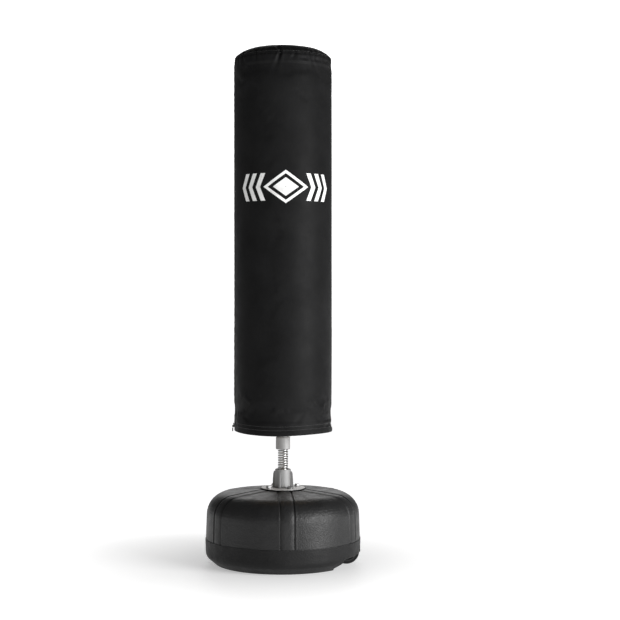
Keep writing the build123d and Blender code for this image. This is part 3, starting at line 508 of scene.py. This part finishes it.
def lug_points(face):
    """One axle lug under the crown of the well: a tab with a rounded foot."""
    outline = rounded([(AXLE[0] - 0.018, 0.042), (AXLE[0] - 0.018, 0.026), (AXLE[0] + 0.018, 0.026),
                       (AXLE[0] + 0.018, 0.042)], [0.010, 0.010], 8)
    crest = np.linspace(math.radians(8), math.radians(172), 14)
    crest = np.stack([AXLE[0] + 0.0145 * np.cos(crest), AXLE[1] + 0.0145 * np.sin(crest)], 1)
    outline = np.concatenate([outline, crest])
    rim = []
    for inset, at in ((0.0012, 0.0), (0.0004, 0.0004), (0.0, 0.0012), (0.0, 0.0108), (0.0004, 0.0116),
                      (0.0012, 0.0120)):
        shrunk = (outline - AXLE) * (1 - inset / 0.018) + AXLE
        rim.append(np.stack([shrunk[:, 0], np.full(len(shrunk), face + at), shrunk[:, 1]], 1))
    return np.array(rim)


for face in (POCKET_Y, -POCKET_Y - LUG_THICKNESS):
    trim.grid(lug_points(face), caps=True)
neck = rounded([(FILLER_BORE, 0.2515), (0.0170, 0.2515), (0.0170, 0.2405), (0.0300, 0.2400),
                (0.0330, 0.2280)], [0.0009, 0.0012, 0.0030], 6)
trim.grid(lathe_points(np.concatenate([[(FILLER_BORE, 0.2180)], neck]), 72, (*FILLER, 0)))
tank_fittings = trim.build("tank_fittings", 45)
tank_plastic.on(tank_fittings)
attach(tank_shell, "base")
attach(tank_fittings, "base")
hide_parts("water_tank")

# ------------------------------------------------------------ wheels
for label, y in (("front", -WHEEL_Y), ("rear", WHEEL_Y)):
    half = 0.0128
    side = [(RIM_RADIUS + 0.0001, half), (WHEEL_RADIUS - 0.0035, half), (WHEEL_RADIUS, half - 0.0040)]
    grooves = [(0, 0.0052), (-0.0016, 0.0048), (-0.0016, 0.0034), (0, 0.0030)]
    upper = [(WHEEL_RADIUS + drop, at) for drop, at in grooves]
    tread = side + upper + [(r, -at) for r, at in upper[::-1]] + [(r, -at) for r, at in side[::-1]]
    soft = [0.0012, 0.003, 0.0003, 0.0003, 0.0003, 0.0003]
    tread = rounded(tread, soft + soft[::-1], 4)
    ring = Parts()
    ring.grid(lathe_points(np.concatenate([tread, tread[:1]]), 120, (AXLE[0], y, AXLE[1]), "Y"))
    tyre = ring.build(label + "_tyre_tread", 50)
    tyre_rubber.on(tyre)
    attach(tyre, label + "_wheel")
    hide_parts(label + "_tyre")

# ------------------------------------------------------------ steel neck
def weld(path, size, closed=False):
    """A stacked-coin weld bead along a path."""
    step = 0.0008
    path = resample(np.asarray(path, float), step)
    along = np.arange(len(path)) * step
    bead = size * (1 + 0.16 * np.abs(np.sin(math.pi * along / 0.0042)) + 0.06 * np.sin(along * 900))
    if closed:
        path, bead = path[:-1], bead[:-1]
    else:
        bead = bead * (0.25 + 0.75 * smooth_step(np.minimum(along, along[::-1]) / 0.003))
    welds.grid(tube_points(path, bead, 10, closed), caps=not closed)


welds = Parts()
turn = np.linspace(0, 2 * math.pi, 181)
foot_radius = SOCKET_RADIUS + 0.0006
weld(np.stack([foot_radius * np.cos(turn), foot_radius * np.sin(turn),
               np.full(181, FLANGE_TOP + 0.0006)], 1), 0.0019, True)
for k in range(4):
    angle = math.radians(-22.2 + 90 * k)
    out = np.array([math.cos(angle), math.sin(angle), 0])
    side = np.array([-math.sin(angle), math.cos(angle), 0])
    for face in (-FIN_HALF, FIN_HALF):
        foot = [out * r + side * face + [0, 0, FLANGE_TOP + 0.0004] for r in (0.0275, 0.0362)]
        back = [out * (SOCKET_RADIUS - 0.0002) + side * face * 1.05 + [0, 0, z]
                for z in (FLANGE_TOP + 0.002, 0.2985)]
        weld(foot, 0.0011)
        weld(back, 0.0011)
turn = turn[:-1]
# a dark rubber bead round the flange's rim, on the tank: a dark piece put where the flange's shadow falls,
# painted shadow
shade_ring = Parts()
shade_ring_line = np.stack([FLANGE_RADIUS * np.cos(turn), FLANGE_RADIUS * np.sin(turn),
                      np.full(180, SEAT_HEIGHT + 0.0012)], 1)
shade_ring.grid(tube_points(shade_ring_line, 0.0021 + 0.0002 * np.sin(11 * turn), 12, True))
shade_ring_bead = shade_ring.build("flange_shade_ring")
tyre_rubber.on(shade_ring_bead)
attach(shade_ring_bead, "base")
weld_beads = welds.build("weld_beads")
# the welds take the darkened steel: painted shade in the joints
shaded_weld_steel.on(weld_beads)
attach(weld_beads, "base")

SPRING_LOW, SPRING_HIGH, SPRING_MIDDLE = 0.293, 0.388, 0.3405
WIRE, COIL, PITCH = 0.0032, 0.0148, 0.0078


def coil(low, high):
    """Centre line of the spring between two heights."""
    count = int((high - low) / PITCH * 44)
    z = np.linspace(low, high, count)
    angle = 2 * math.pi * (z - SPRING_LOW) / PITCH
    return np.stack([COIL * np.cos(angle), COIL * np.sin(angle), z], 1)


for label, low, high, a, b, start, end in (
        ("lower", SPRING_LOW + WIRE, SPRING_MIDDLE + 0.0002, "base", "spring_middle", 0.302, 0.340),
        ("upper", SPRING_MIDDLE - 0.0002, SPRING_HIGH - WIRE, "spring_middle", "bag", 0.341, 0.378)):
    turns = Parts()
    turns.grid(tube_points(coil(low, high), WIRE, 16), caps=True)
    half_spring = turns.build("spring_" + label)
    spring_steel.on(half_spring)
    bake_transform(half_spring)
    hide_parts("spring")

# ------------------------------------------------------------ bag
# Puckers where the side and the top panel are sewn together: angle from the front
# towards +X in degrees, width and length in metres, depth in metres, slant.
PUCKERS = [(-6, 0.0042, 0.034, 0.0058, 0.34), (-36, 0.0045, 0.022, 0.0028, -0.1),
           (-30, 0.004, 0.018, 0.0022, -0.2), (22, 0.0042, 0.020, 0.0022, -0.3),
           (29, 0.0045, 0.034, 0.0030, -0.5), (38, 0.0045, 0.022, 0.0028, -0.1),
           (11, 0.0042, 0.018, 0.0022, 0.3), (-58, 0.0048, 0.022, 0.0028, -0.2),
           (52, 0.0048, 0.026, 0.0024, 0.2)]
at = 66.0
while at < 294:
    PUCKERS.append((at, random.uniform(0.0035, 0.0055), random.uniform(0.012, 0.030),
                    random.uniform(0.0012, 0.0034), random.uniform(-0.4, 0.4)))
    at += random.uniform(6, 15)
for middle in np.arange(-64, 66, 7.5):
    PUCKERS.append((middle + random.uniform(-2.5, 2.5), random.uniform(0.003, 0.0045),
                    random.uniform(0.007, 0.013), random.uniform(0.0004, 0.0010), random.uniform(-0.4, 0.4)))


def gathers(angle, away):
    """Relief of the puckers at an angle from the front and a distance from the seam."""
    total = np.zeros(np.broadcast(angle, away).shape)
    for middle, width, length, depth, slant in PUCKERS:
        shift = (angle - math.radians(middle) + math.pi) % (2 * math.pi) - math.pi
        x = (shift * BAG_RADIUS + slant * away) / (width * (1 + 0.8 * away / length))
        fold = -np.exp(-x ** 2) + 0.45 * np.exp(-(np.abs(x) - 1.7) ** 2)
        total += depth * fold * np.exp(-(away / length) ** 1.6)
    return total


def soft_noise(angle, height, seeds, size):
    """Slow unevenness: a few crossed sine waves that close round the bag."""
    total = np.zeros(np.broadcast(angle, height).shape)
    for n, k, phase in seeds:
        total += np.sin(n * angle + phase) * np.sin(k * height + 2.3 * phase)
    return total * size / len(seeds)


SLOW = [(2, 3.1, 0.4), (3, 5.3, 2.1), (5, 7.9, 4.0), (4, 2.2, 5.2), (7, 10.7, 1.3)]

# Soft slanting folds near the foot of the cover: angle from the front, height above the
# hem, slant, width, depth and length.
FOLDS = [(-0.16, 0.050, 0.9, 0.010, 0.0020, 0.034), (-0.10, 0.030, 1.0, 0.007, 0.0016, 0.020),
         (0.32, 0.060, -0.7, 0.012, 0.0015, 0.034), (0.78, 0.040, 0.8, 0.010, 0.0016, 0.025),
         (-0.85, 0.052, -0.8, 0.011, 0.0012, 0.030), (2.4, 0.050, 0.8, 0.011, 0.0012, 0.030),
         (-2.2, 0.056, -0.9, 0.012, 0.0012, 0.032), (3.0, 0.046, 0.7, 0.011, 0.0010, 0.028)]


def around(angle, r, z):
    """Points at an angle from the front (-Y) towards +X."""
    return np.stack(np.broadcast_arrays(r * np.sin(angle), -r * np.cos(angle), z), -1)


def hem_height(angle):
    """Lower edge of the cover: it hangs lowest in front."""
    sag = 0.0060 * np.exp(-((angle + 0.1) / 0.75) ** 2)
    return HEM_Z + 0.0005 - sag + 0.0012 * np.sin(3 * angle + 0.8)


def cloth_pass(rows=140, cols=150, frames=20, limit=0.0024):
    """The cover's side worked out as cloth: cut a little too long for the foam, blown out by a
    light pressure, and held along the seam, the hem and the zip. Gives its relief on a grid."""
    turn = np.linspace(-math.pi, math.pi, cols, endpoint=False)[None, :]
    height = np.linspace(COVER_FOOT, SEAM_Z, rows)[:, None]
    start = BAG_RADIUS - 0.002 + 0.0006 * soft_noise(turn, height, SLOW, 1.0)
    sheet = Parts()
    sheet.grid(around(turn, start, height))
    cloth_sheet = sheet.build("cloth_sheet")
    pins = cloth_sheet.vertex_groups.new(name="pins")
    seam_and_hem = np.concatenate([np.arange(cols), np.arange((rows - 1) * cols, rows * cols)])
    zip_side = np.argmin(np.abs(turn[0] + math.pi / 2)) + cols * np.arange(rows)
    pins.add([int(k) for k in np.concatenate([seam_and_hem, zip_side])], 1.0, "REPLACE")
    cloth = cloth_sheet.modifiers.new("cloth", "CLOTH")
    cloth.settings.quality = 4
    cloth.settings.mass = 0.4
    cloth.settings.tension_stiffness = 25
    cloth.settings.compression_stiffness = 25
    cloth.settings.shear_stiffness = 8
    cloth.settings.bending_stiffness = 0.8
    cloth.settings.vertex_group_mass = "pins"
    cloth.settings.use_pressure = True
    cloth.settings.uniform_pressure_force = 4
    cloth.settings.shrink_min = -0.012
    cloth.settings.effector_weights.gravity = 0
    cloth.collision_settings.use_collision = False
    cloth.point_cache.frame_end = frames
    for frame_number in range(1, frames + 1):
        bpy.context.scene.frame_set(frame_number)
    solved = cloth_sheet.evaluated_get(bpy.context.evaluated_depsgraph_get()).to_mesh()
    points = np.empty(3 * len(solved.vertices))
    solved.vertices.foreach_get("co", points)
    points = points.reshape(rows, cols, 3)
    bpy.context.scene.frame_set(1)
    bpy.data.objects.remove(cloth_sheet)
    relief = np.hypot(points[..., 0], points[..., 1]) - start
    bound = np.where(relief > 0, limit, 0.4 * limit)
    return bound * np.tanh(relief / bound)


CLOTH_RELIEF = cloth_pass()


def cloth_relief(angle, z):
    """Relief of the cloth pass at an angle and a height, between its grid points."""
    rows, cols = CLOTH_RELIEF.shape
    u, v = np.broadcast_arrays((angle + math.pi) / (2 * math.pi) * cols,
                               np.clip((z - COVER_FOOT) / (SEAM_Z - COVER_FOOT), 0, 1) * (rows - 1))
    i, j = np.floor(u).astype(int), np.minimum(np.floor(v).astype(int), rows - 2)
    p, q = u - i, v - j
    left = CLOTH_RELIEF[j, i % cols] * (1 - q) + CLOTH_RELIEF[j + 1, i % cols] * q
    right = CLOTH_RELIEF[j, (i + 1) % cols] * (1 - q) + CLOTH_RELIEF[j + 1, (i + 1) % cols] * q
    return left * (1 - p) + right * p


def side_radius(angle, z):
    """Outer radius of the cover's side."""
    away = np.maximum(SEAM_Z - z, 0)
    r = BAG_RADIUS - 0.0004 + gathers(angle, away) + cloth_relief(angle, z)
    r = r + soft_noise(angle, z, SLOW, 0.0016) * smooth_step((SEAM_Z - z) / 0.10)
    # drawn in a little above the hem, flared at the hem itself
    low = z - HEM_Z
    r = r - 0.0028 * np.exp(-((low - 0.072) / 0.026) ** 2) * (0.55 - 0.45 * np.sin(angle))
    r = r + (0.0028 + 0.0022 * np.sin(angle)) * smooth_step((0.022 - low) / 0.030)
    for middle, start, slant, width, depth, length in FOLDS:
        shift = (angle - middle + math.pi) % (2 * math.pi) - math.pi
        x = (shift * BAG_RADIUS + slant * (low - start)) / width
        fold = np.exp(-x ** 2) - 0.5 * np.exp(-(x - 1.8) ** 2)
        r = r - depth * fold * np.exp(-((low - start) / length) ** 2)
    # the side turns into the seam
    return r - 0.0016 * np.exp(-(away / 0.0032) ** 2)


COLS = 480
ANGLE = np.linspace(-math.pi, math.pi, COLS, endpoint=False)[None, :]
fine = np.concatenate([np.linspace(SEAM_Z, SEAM_Z - 0.045, 30, endpoint=False),
                       np.linspace(SEAM_Z - 0.045, 0.56, 150, endpoint=False),
                       np.linspace(0.56, COVER_FOOT, 60)])[:, None]
drop = hem_height(ANGLE) - HEM_Z
level = fine + drop * smooth_step((0.52 - fine) / 0.08)
outer = around(ANGLE, side_radius(ANGLE, level), level)
inner = around(ANGLE, side_radius(ANGLE, level) - COVER_THICKNESS, level)
skin = Parts()
skin.grid(np.concatenate([outer, inner[::-1], outer[:1]]))
bag_cover = skin.build("bag_cover")
cover_leather.on(bag_cover)
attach(bag_cover, "bag")
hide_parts("cover_side")


def crown_line():
    """Half section of the domed top, from the seam to the middle: radius and height."""
    dome_radius = 0.560
    crown = np.linspace(0, math.radians(11.8), 40)
    top = np.stack([dome_radius * np.sin(crown), CROWN_TOP - dome_radius + dome_radius * np.cos(crown)], 1)
    # an arc that leaves the dome's end a along its tangent and ends at b, level with the shoulder
    a, b = top[-1], np.array([BAG_RADIUS, SEAM_Z + 0.003])
    normal = np.array([math.sin(crown[-1]), math.cos(crown[-1])])
    radius = (b - a) @ (b - a) / (2 * (b - a) @ normal)
    centre = a + normal * radius
    start, end = (math.atan2(p[1] - centre[1], p[0] - centre[0]) for p in (a, b))
    turn = np.linspace(start, end, 36)[1:]
    shoulder = centre + abs(radius) * np.stack([np.cos(turn), np.sin(turn)], 1)
    return np.concatenate([top, shoulder, [(BAG_RADIUS - 0.0012, SEAM_Z + 0.0004)]])[::-1]


line = resample(crown_line(), 0.0022)
line = line[line[:, 0] > 0.004]
tangent = np.gradient(line, axis=0)
tangent /= np.linalg.norm(tangent, axis=1)[:, None]
normal = np.stack([tangent[:, 1], -tangent[:, 0]], 1)
away = np.concatenate([[0], np.cumsum(np.linalg.norm(np.diff(line, axis=0), axis=1))])[:, None]
# above the seam the puckers run on, a little shorter and shallower than on the side
relief = 0.9 * gathers(ANGLE, away * 1.15)
relief = relief + soft_noise(ANGLE, away * 9, SLOW, 0.0016) * smooth_step(away / 0.05)
relief = relief * smooth_step((line[:, :1] - 0.02) / 0.05) - 0.0016 * np.exp(-(away / 0.0032) ** 2)
r = line[:, :1] + normal[:, :1] * relief
z = line[:, 1:] + normal[:, 1:] * relief
outer = around(ANGLE, r, z)
inner = around(ANGLE, r - normal[:, :1] * COVER_THICKNESS, z - normal[:, 1:] * COVER_THICKNESS)
skin = Parts()
skin.grid(np.concatenate([inner[::-1], outer]), caps=True)
bag_crown = skin.build("bag_crown")
cover_leather.on(bag_crown)
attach(bag_crown, "bag")
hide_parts("cover_top")

# welt in the seam between side and top
turn = np.linspace(-math.pi, math.pi, 361)[:-1]
welt_r = BAG_RADIUS - 0.0016 + gathers(turn, np.zeros(360)) * 0.55
welt = Parts()
welt.grid(tube_points(around(turn, welt_r, SEAM_Z + 0.0002 + 0.0004 * np.sin(9 * turn)), 0.0015, 10, True))
seam_welt = welt.build("seam_welt")
cover_leather.on(seam_welt)
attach(seam_welt, "bag")
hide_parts("top_seam")


def stitch(parts, a, b, radius=0.00045):
    """One sewn stitch: a short bowed capsule between two points, pressed in at its ends."""
    a, b = np.asarray(a), np.asarray(b)
    t = np.linspace(0, 1, 6)
    path = a + (b - a) * t[:, None]
    sink = (a + b) / 2
    sink = np.array([sink[0], sink[1], 0]) / max(np.linalg.norm(sink[:2]), 1e-6)
    path = path - sink * (0.0006 * (2 * t - 1) ** 4)[:, None]
    parts.grid(tube_points(path, radius * np.sqrt(1 - 0.75 * (2 * t - 1) ** 4), 6), caps=True)


def stitch_row(parts, height, radius_at, pitch=0.0052, length=0.0036):
    count = int(2 * math.pi * BAG_RADIUS / pitch)
    for k in range(count):
        first = -math.pi + 2 * math.pi * k / count
        last = first + length / BAG_RADIUS
        ends = [around(np.array(t), radius_at(t), height(t)) for t in (first, last)]
        stitch(parts, *ends)


crown_away = 0.0062
crown_r = np.interp(crown_away, away[:, 0], line[:, 0])
crown_z = np.interp(crown_away, away[:, 0], line[:, 1])
sewing = Parts()
stitch_row(sewing, lambda t: crown_z, lambda t: crown_r + 0.0002 + 0.9 * float(gathers(t, crown_away)))
for offset in (0.0185, 0.0300):
    stitch_row(sewing, lambda t: float(hem_height(t)) + offset,
               lambda t: float(side_radius(t, hem_height(t) + offset)) + 0.0002)
stitches = sewing.build("stitches")
thread.on(stitches)
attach(stitches, "bag")

# turned-up hem at the foot of the cover
HEM_HEIGHT, HEM_THICKNESS = 0.0105, 0.0034
ring = rounded([(0, HEM_HEIGHT), (0, 0), (-HEM_THICKNESS, 0), (-HEM_THICKNESS, HEM_HEIGHT), (0, HEM_HEIGHT)],
               [0.0014, 0.0014, 0.0006], 5)
base_z = hem_height(ANGLE)
hem_r = side_radius(ANGLE, np.broadcast_to(base_z + 0.004, (1, COLS))) + 0.0007 + ring[:, :1]
hem_r = hem_r + 0.0003 * np.sin(41 * ANGLE + 1.0) * np.sin(13 * ANGLE)
hem = Parts()
hem.grid(around(ANGLE, hem_r, base_z + ring[:, 1:]))
hem_fold = hem.build("hem_fold")
cover_leather.on(hem_fold)
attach(hem_fold, "bag")
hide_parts("hem_binding")

# foam inside: a roll round the core tube, and a pad that fills the dome above the top disc
sleeve_line = rounded([(0.0560, 0.4670), (0.1515, 0.4665), (0.1528, 0.4700), (0.1528, 1.6405),
                       (0.1510, 1.6415), (0.0560, 1.6415), (0.0560, 0.4670)],
                      [0.001, 0.002, 0.002, 0.001, 0.001], 4)
sleeve = Parts()
sleeve.grid(lathe_points(resample(sleeve_line, 0.03), 120))
PAD_INSET = 0.0045
pad_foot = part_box("top_pad")[0].z
dome = crown_line()
dome = dome[(dome[:, 0] > 0.004) & (dome[:, 1] > pad_foot + 0.012)]
dome = np.stack([dome[:, 0] * (1 - PAD_INSET / BAG_RADIUS), dome[:, 1] - PAD_INSET], 1)
pad_line = np.concatenate([[(0.004, pad_foot + 0.0002), (dome[0, 0], pad_foot + 0.0002)], dome])
pad = Parts()
pad.grid(lathe_points(resample(pad_line, 0.006), 120), caps=True)
for name, node, parts in (("foam_sleeve", "foam_core", sleeve), ("top_foam", "top_pad", pad)):
    foam = parts.build(name, 50)
    foam_skin.on(foam)
    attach(foam, "bag")
    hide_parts(node)

# ------------------------------------------------------------ zip on the -X side
TAPE_FOOT, TAPE_TOP, TEETH_FOOT, TEETH_TOP, TOOTH_PITCH = 0.446, 1.640, 0.462, 1.636, 0.0030
# section of one half of the tape: distance from the zip's middle, and height off the cover
TAPE_SECTION = np.array([(0.0012, 0.0010), (0.0024, 0.0011), (0.0040, 0.0010), (0.0070, 0.0009),
                         (0.0100, 0.0008), (0.0108, 0.0004), (0.0104, -0.0002), (0.0070, -0.0002),
                         (0.0024, -0.0002), (0.0012, 0.0000)])
zip_parts, teeth = Parts(), Parts()
for side in (-1, 1):
    z = np.linspace(TAPE_FOOT, TAPE_TOP, 300)[:, None]
    angle = -math.pi / 2 + side * TAPE_SECTION[:, 0][None, :] / BAG_RADIUS
    lift = TAPE_SECTION[:, 1][None, :]
    zip_parts.grid(around(angle, side_radius(angle, z) + lift, z), caps=True)
    for k in range(int((TEETH_TOP - TEETH_FOOT) / TOOTH_PITCH)):
        z0 = TEETH_FOOT + TOOTH_PITCH * k + (TOOTH_PITCH / 2 if side > 0 else 0)
        y0, y1 = -side * 0.0006, side * 0.0024
        box = []
        for zz, inset in ((z0, 0.0003), (z0 + 0.0004, 0.0), (z0 + 0.0014, 0.0), (z0 + 0.0018, 0.0003)):
            base = float(side_radius(-math.pi / 2, zz)) + 0.0009
            corners = [(y0, 0.0), (y1, 0.0), (y1, 0.0012 - inset), (y1 - side * 0.0004, 0.0015 - inset),
                       (y0 + side * 0.0004, 0.0015 - inset), (y0, 0.0012 - inset)]
            box.append([(-(base + h), yy, zz) for yy, h in corners])
        teeth.grid(np.array(box), caps=True)
zip_tapes = zip_parts.build("zip_tapes")
webbing.on(zip_tapes)
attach(zip_tapes, "bag")
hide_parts("zip_tape")
zip_teeth = teeth.build("zip_teeth", 40)
cap_plastic.on(zip_teeth)
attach(zip_teeth, "bag")
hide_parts("zip_chain")

# rubber grip moulded round the end of the puller: rounded sections with two raised rings
PULLER_X, GRIP_HALF_DEPTH, GRIP_HALF_WIDTH = 0.1662, 0.0019, 0.0040
turn = np.linspace(0, 2 * math.pi, 33)[:-1]
bulge = (np.abs(np.cos(turn)) ** 3 + np.abs(np.sin(turn)) ** 3) ** (-1 / 3)
sections = []
for z, wide in ((0.4447, 0.35), (0.4443, 0.72), (0.4432, 0.92), (0.4410, 0.90), (0.4395, 1.0),
                (0.4380, 0.90), (0.4365, 1.0), (0.4350, 0.95), (0.4333, 0.80), (0.4327, 0.35)):
    sections.append(np.stack([-PULLER_X + GRIP_HALF_DEPTH * wide * bulge * np.cos(turn),
                              GRIP_HALF_WIDTH * wide * bulge * np.sin(turn), np.full(32, z)], 1))
grip = Parts()
grip.grid(np.array(sections), caps=True)
puller_grip = grip.build("puller_grip")
tyre_rubber.on(puller_grip)
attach(puller_grip, "pull")

# ------------------------------------------------------------ generic printed mark
tree = BVHTree.FromObject(bag_cover, bpy.context.evaluated_depsgraph_get())
print_parts = Parts()


def printed(s, t):
    """Lays points (around, up) of the mark on the cover's surface, a hair proud of it."""
    angle = s / BAG_RADIUS
    out = []
    for a, h in zip(angle.ravel(), (MARK_Z + t).ravel()):
        ray = Vector((math.sin(a), -math.cos(a), 0))
        hit = tree.ray_cast(ray * 0.2 + Vector((0, 0, h)), -ray, 0.1)[0]
        out.append(hit + ray * 0.00025)
    return np.array(out).reshape(*s.shape, 3)


def chevron(near, side, half_height=0.044, thickness=0.016, sweep=0.42, step=0.003):
    """A chevron that points away from the middle of the mark, its tip that far out."""
    t = np.linspace(-half_height, half_height, 23)[:, None]
    left = near - sweep * np.abs(t) if side > 0 else -near - thickness + sweep * np.abs(t)
    count = int(thickness / step)
    k = np.linspace(0, 1, count)[None, :]
    print_parts.grid(printed(left + thickness * k, np.broadcast_to(t, (len(t), count))), closed=False)


# a lozenge, and an outline of the same shape round it
ring = np.linspace(0, 2 * math.pi, 121)[:-1]
lozenge = 0.030 / (np.abs(np.cos(ring)) * 0.72 + np.abs(np.sin(ring)))
for low, high in ((0.04, 1.0), (1.42, 1.78)):
    radius = np.linspace(low, high, 12)[:, None] * lozenge[None, :]
    print_parts.grid(printed(radius * np.cos(ring), radius * np.sin(ring)))
for side in (-1, 1):
    for near in (0.086, 0.116, 0.146):
        chevron(near, side)
mark = print_parts.build("front_print")
print_white.on(mark)
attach(mark, "bag")

# ------------------------------------------------------------ finishes of the CAD nodes that stay
# the flange plate takes the brighter copy of the paint: painted light on its upward face
lit_flange_steel.on("flange_plate")
silver_paint.on("socket_tube", "socket_fins", "upper_collar", "neck_post", "base_clamp")
galvanised.on("threaded_inserts", "flange_bolts", "flange_washers", "lower_spring_plug", "socket_pin",
              "wheel_axle", "axle_caps", "upper_spring_plug", "collar_pin", "clamp_screws")
wheel_plastic.on("front_rim", "rear_rim")
bush_plastic.on("front_bush", "rear_bush", "axle_spacers")
tyre_rubber.on("cap_gasket")
cap_plastic.on("filler_cap")
plywood.on("bottom_disc", "top_disc")
core_plastic.on("core_tube")
zip_metal.on("zip_slider", "zip_pull")
water.on("water_ballast")
spring_steel.on("spring")

# ------------------------------------------------------------ floor, light and camera
floor_finish = Finish("floor", grey(0.86), 0.6)
floor_finish.paint(floor_finish.noise(2.0, 3, 0.5), grey(0.85), grey(0.87))
floor_finish.set("Emission Color", (1, 1, 1, 1))
# the floor glows less near the object: a painted shadow pool round the base
floor_finish.link(floor_finish.ramp(floor_finish.distance(), 0.40, 0.84, 0.24, 0.80),
                  floor_finish.shader.inputs["Emission Strength"])
FAR = 300
floor = mesh_object("floor", [(-FAR, -FAR, 0), (FAR, -FAR, 0), (FAR, FAR, 0), (-FAR, FAR, 0)],
                    [(0, 1, 2, 3)])
floor_finish.on(floor)

# a white cyclorama far away, for the camera alone: it neither lights nor mirrors
WALL_RADIUS = 60
wall_turn = np.linspace(0, 2 * math.pi, 97)[:-1]
wall = Parts()
wall.grid(np.array([np.stack([WALL_RADIUS * np.cos(wall_turn), WALL_RADIUS * np.sin(wall_turn),
                              np.full(96, at)], 1) for at in (-2.0, 10.0, 40.0, 120.0)]))
cyclorama = wall.build("cyclorama")
paper = Finish("paper", grey(0.9), 0.8)
paper.paint(paper.noise(0.02, 2, 0.5), grey(0.89), grey(0.91))
paper.set("Emission Color", (1, 1, 1, 1))
paper.set("Emission Strength", 1.1)
paper.on(cyclorama)
for ray in ("diffuse", "glossy", "transmission", "shadow", "volume_scatter"):
    setattr(cyclorama, "visible_" + ray, False)

# the studio's light: dim all round, with a soft bright patch behind the object
world = bpy.data.worlds.new("studio")
world.use_nodes = True
background = world.node_tree.nodes["Background"]
direction = world.node_tree.nodes.new("ShaderNodeTexCoord")
ahead = world.node_tree.nodes.new("ShaderNodeVectorMath")
ahead.operation = "DOT_PRODUCT"
ahead.inputs[1].default_value = (-math.sin(CAMERA_TURN), math.cos(CAMERA_TURN), 0.0)
squash = world.node_tree.nodes.new("ShaderNodeVectorMath")
squash.operation = "MULTIPLY"
squash.inputs[1].default_value = (1.4, 1, 0.45)
unit = world.node_tree.nodes.new("ShaderNodeVectorMath")
unit.operation = "NORMALIZE"
world.node_tree.links.new(direction.outputs["Generated"], squash.inputs[0])
world.node_tree.links.new(squash.outputs["Vector"], unit.inputs[0])
world.node_tree.links.new(unit.outputs["Vector"], ahead.inputs[0])
glow = world.node_tree.nodes.new("ShaderNodeMapRange")
glow.interpolation_type = "SMOOTHSTEP"
for socket, value in (("From Min", 0.905), ("From Max", 0.955), ("To Min", 0.115), ("To Max", 1.45)):
    glow.inputs[socket].default_value = value
world.node_tree.links.new(ahead.outputs["Value"], glow.inputs["Value"])
world.node_tree.links.new(glow.outputs["Result"], background.inputs["Strength"])
background.inputs["Color"].default_value = (1, 1, 1, 1)
bpy.context.scene.world = world


def softbox(name, place, target, width, height, power):
    data = bpy.data.lights.new(name, "AREA")
    data.shape, data.size, data.size_y, data.energy = "RECTANGLE", width, height, power
    light = bpy.data.objects.new(name, data)
    light.location = place
    light.rotation_euler = (Vector(target) - Vector(place)).to_track_quat("-Z", "Y").to_euler()
    bpy.context.scene.collection.objects.link(light)


softbox("key_right", (2.45, -2.05, 0.95), (0, 0, 0.85), 1.9, 1.6, 110)

camera = bpy.data.objects.new("camera", bpy.data.cameras.new("camera"))
back = Vector((math.sin(CAMERA_TURN), -math.cos(CAMERA_TURN), 0))
right = Vector((math.cos(CAMERA_TURN), math.sin(CAMERA_TURN), 0))
camera.location = back * CAMERA_DISTANCE + right * CAMERA_SHIFT + Vector((0, 0, CAMERA_HEIGHT))
camera.rotation_euler = (math.radians(90), 0, CAMERA_TURN)
camera.data.sensor_width, camera.data.lens = 36.0, 78.4
bpy.context.scene.collection.objects.link(camera)
bpy.context.scene.camera = camera
bpy.context.scene.view_settings.view_transform = "Standard"
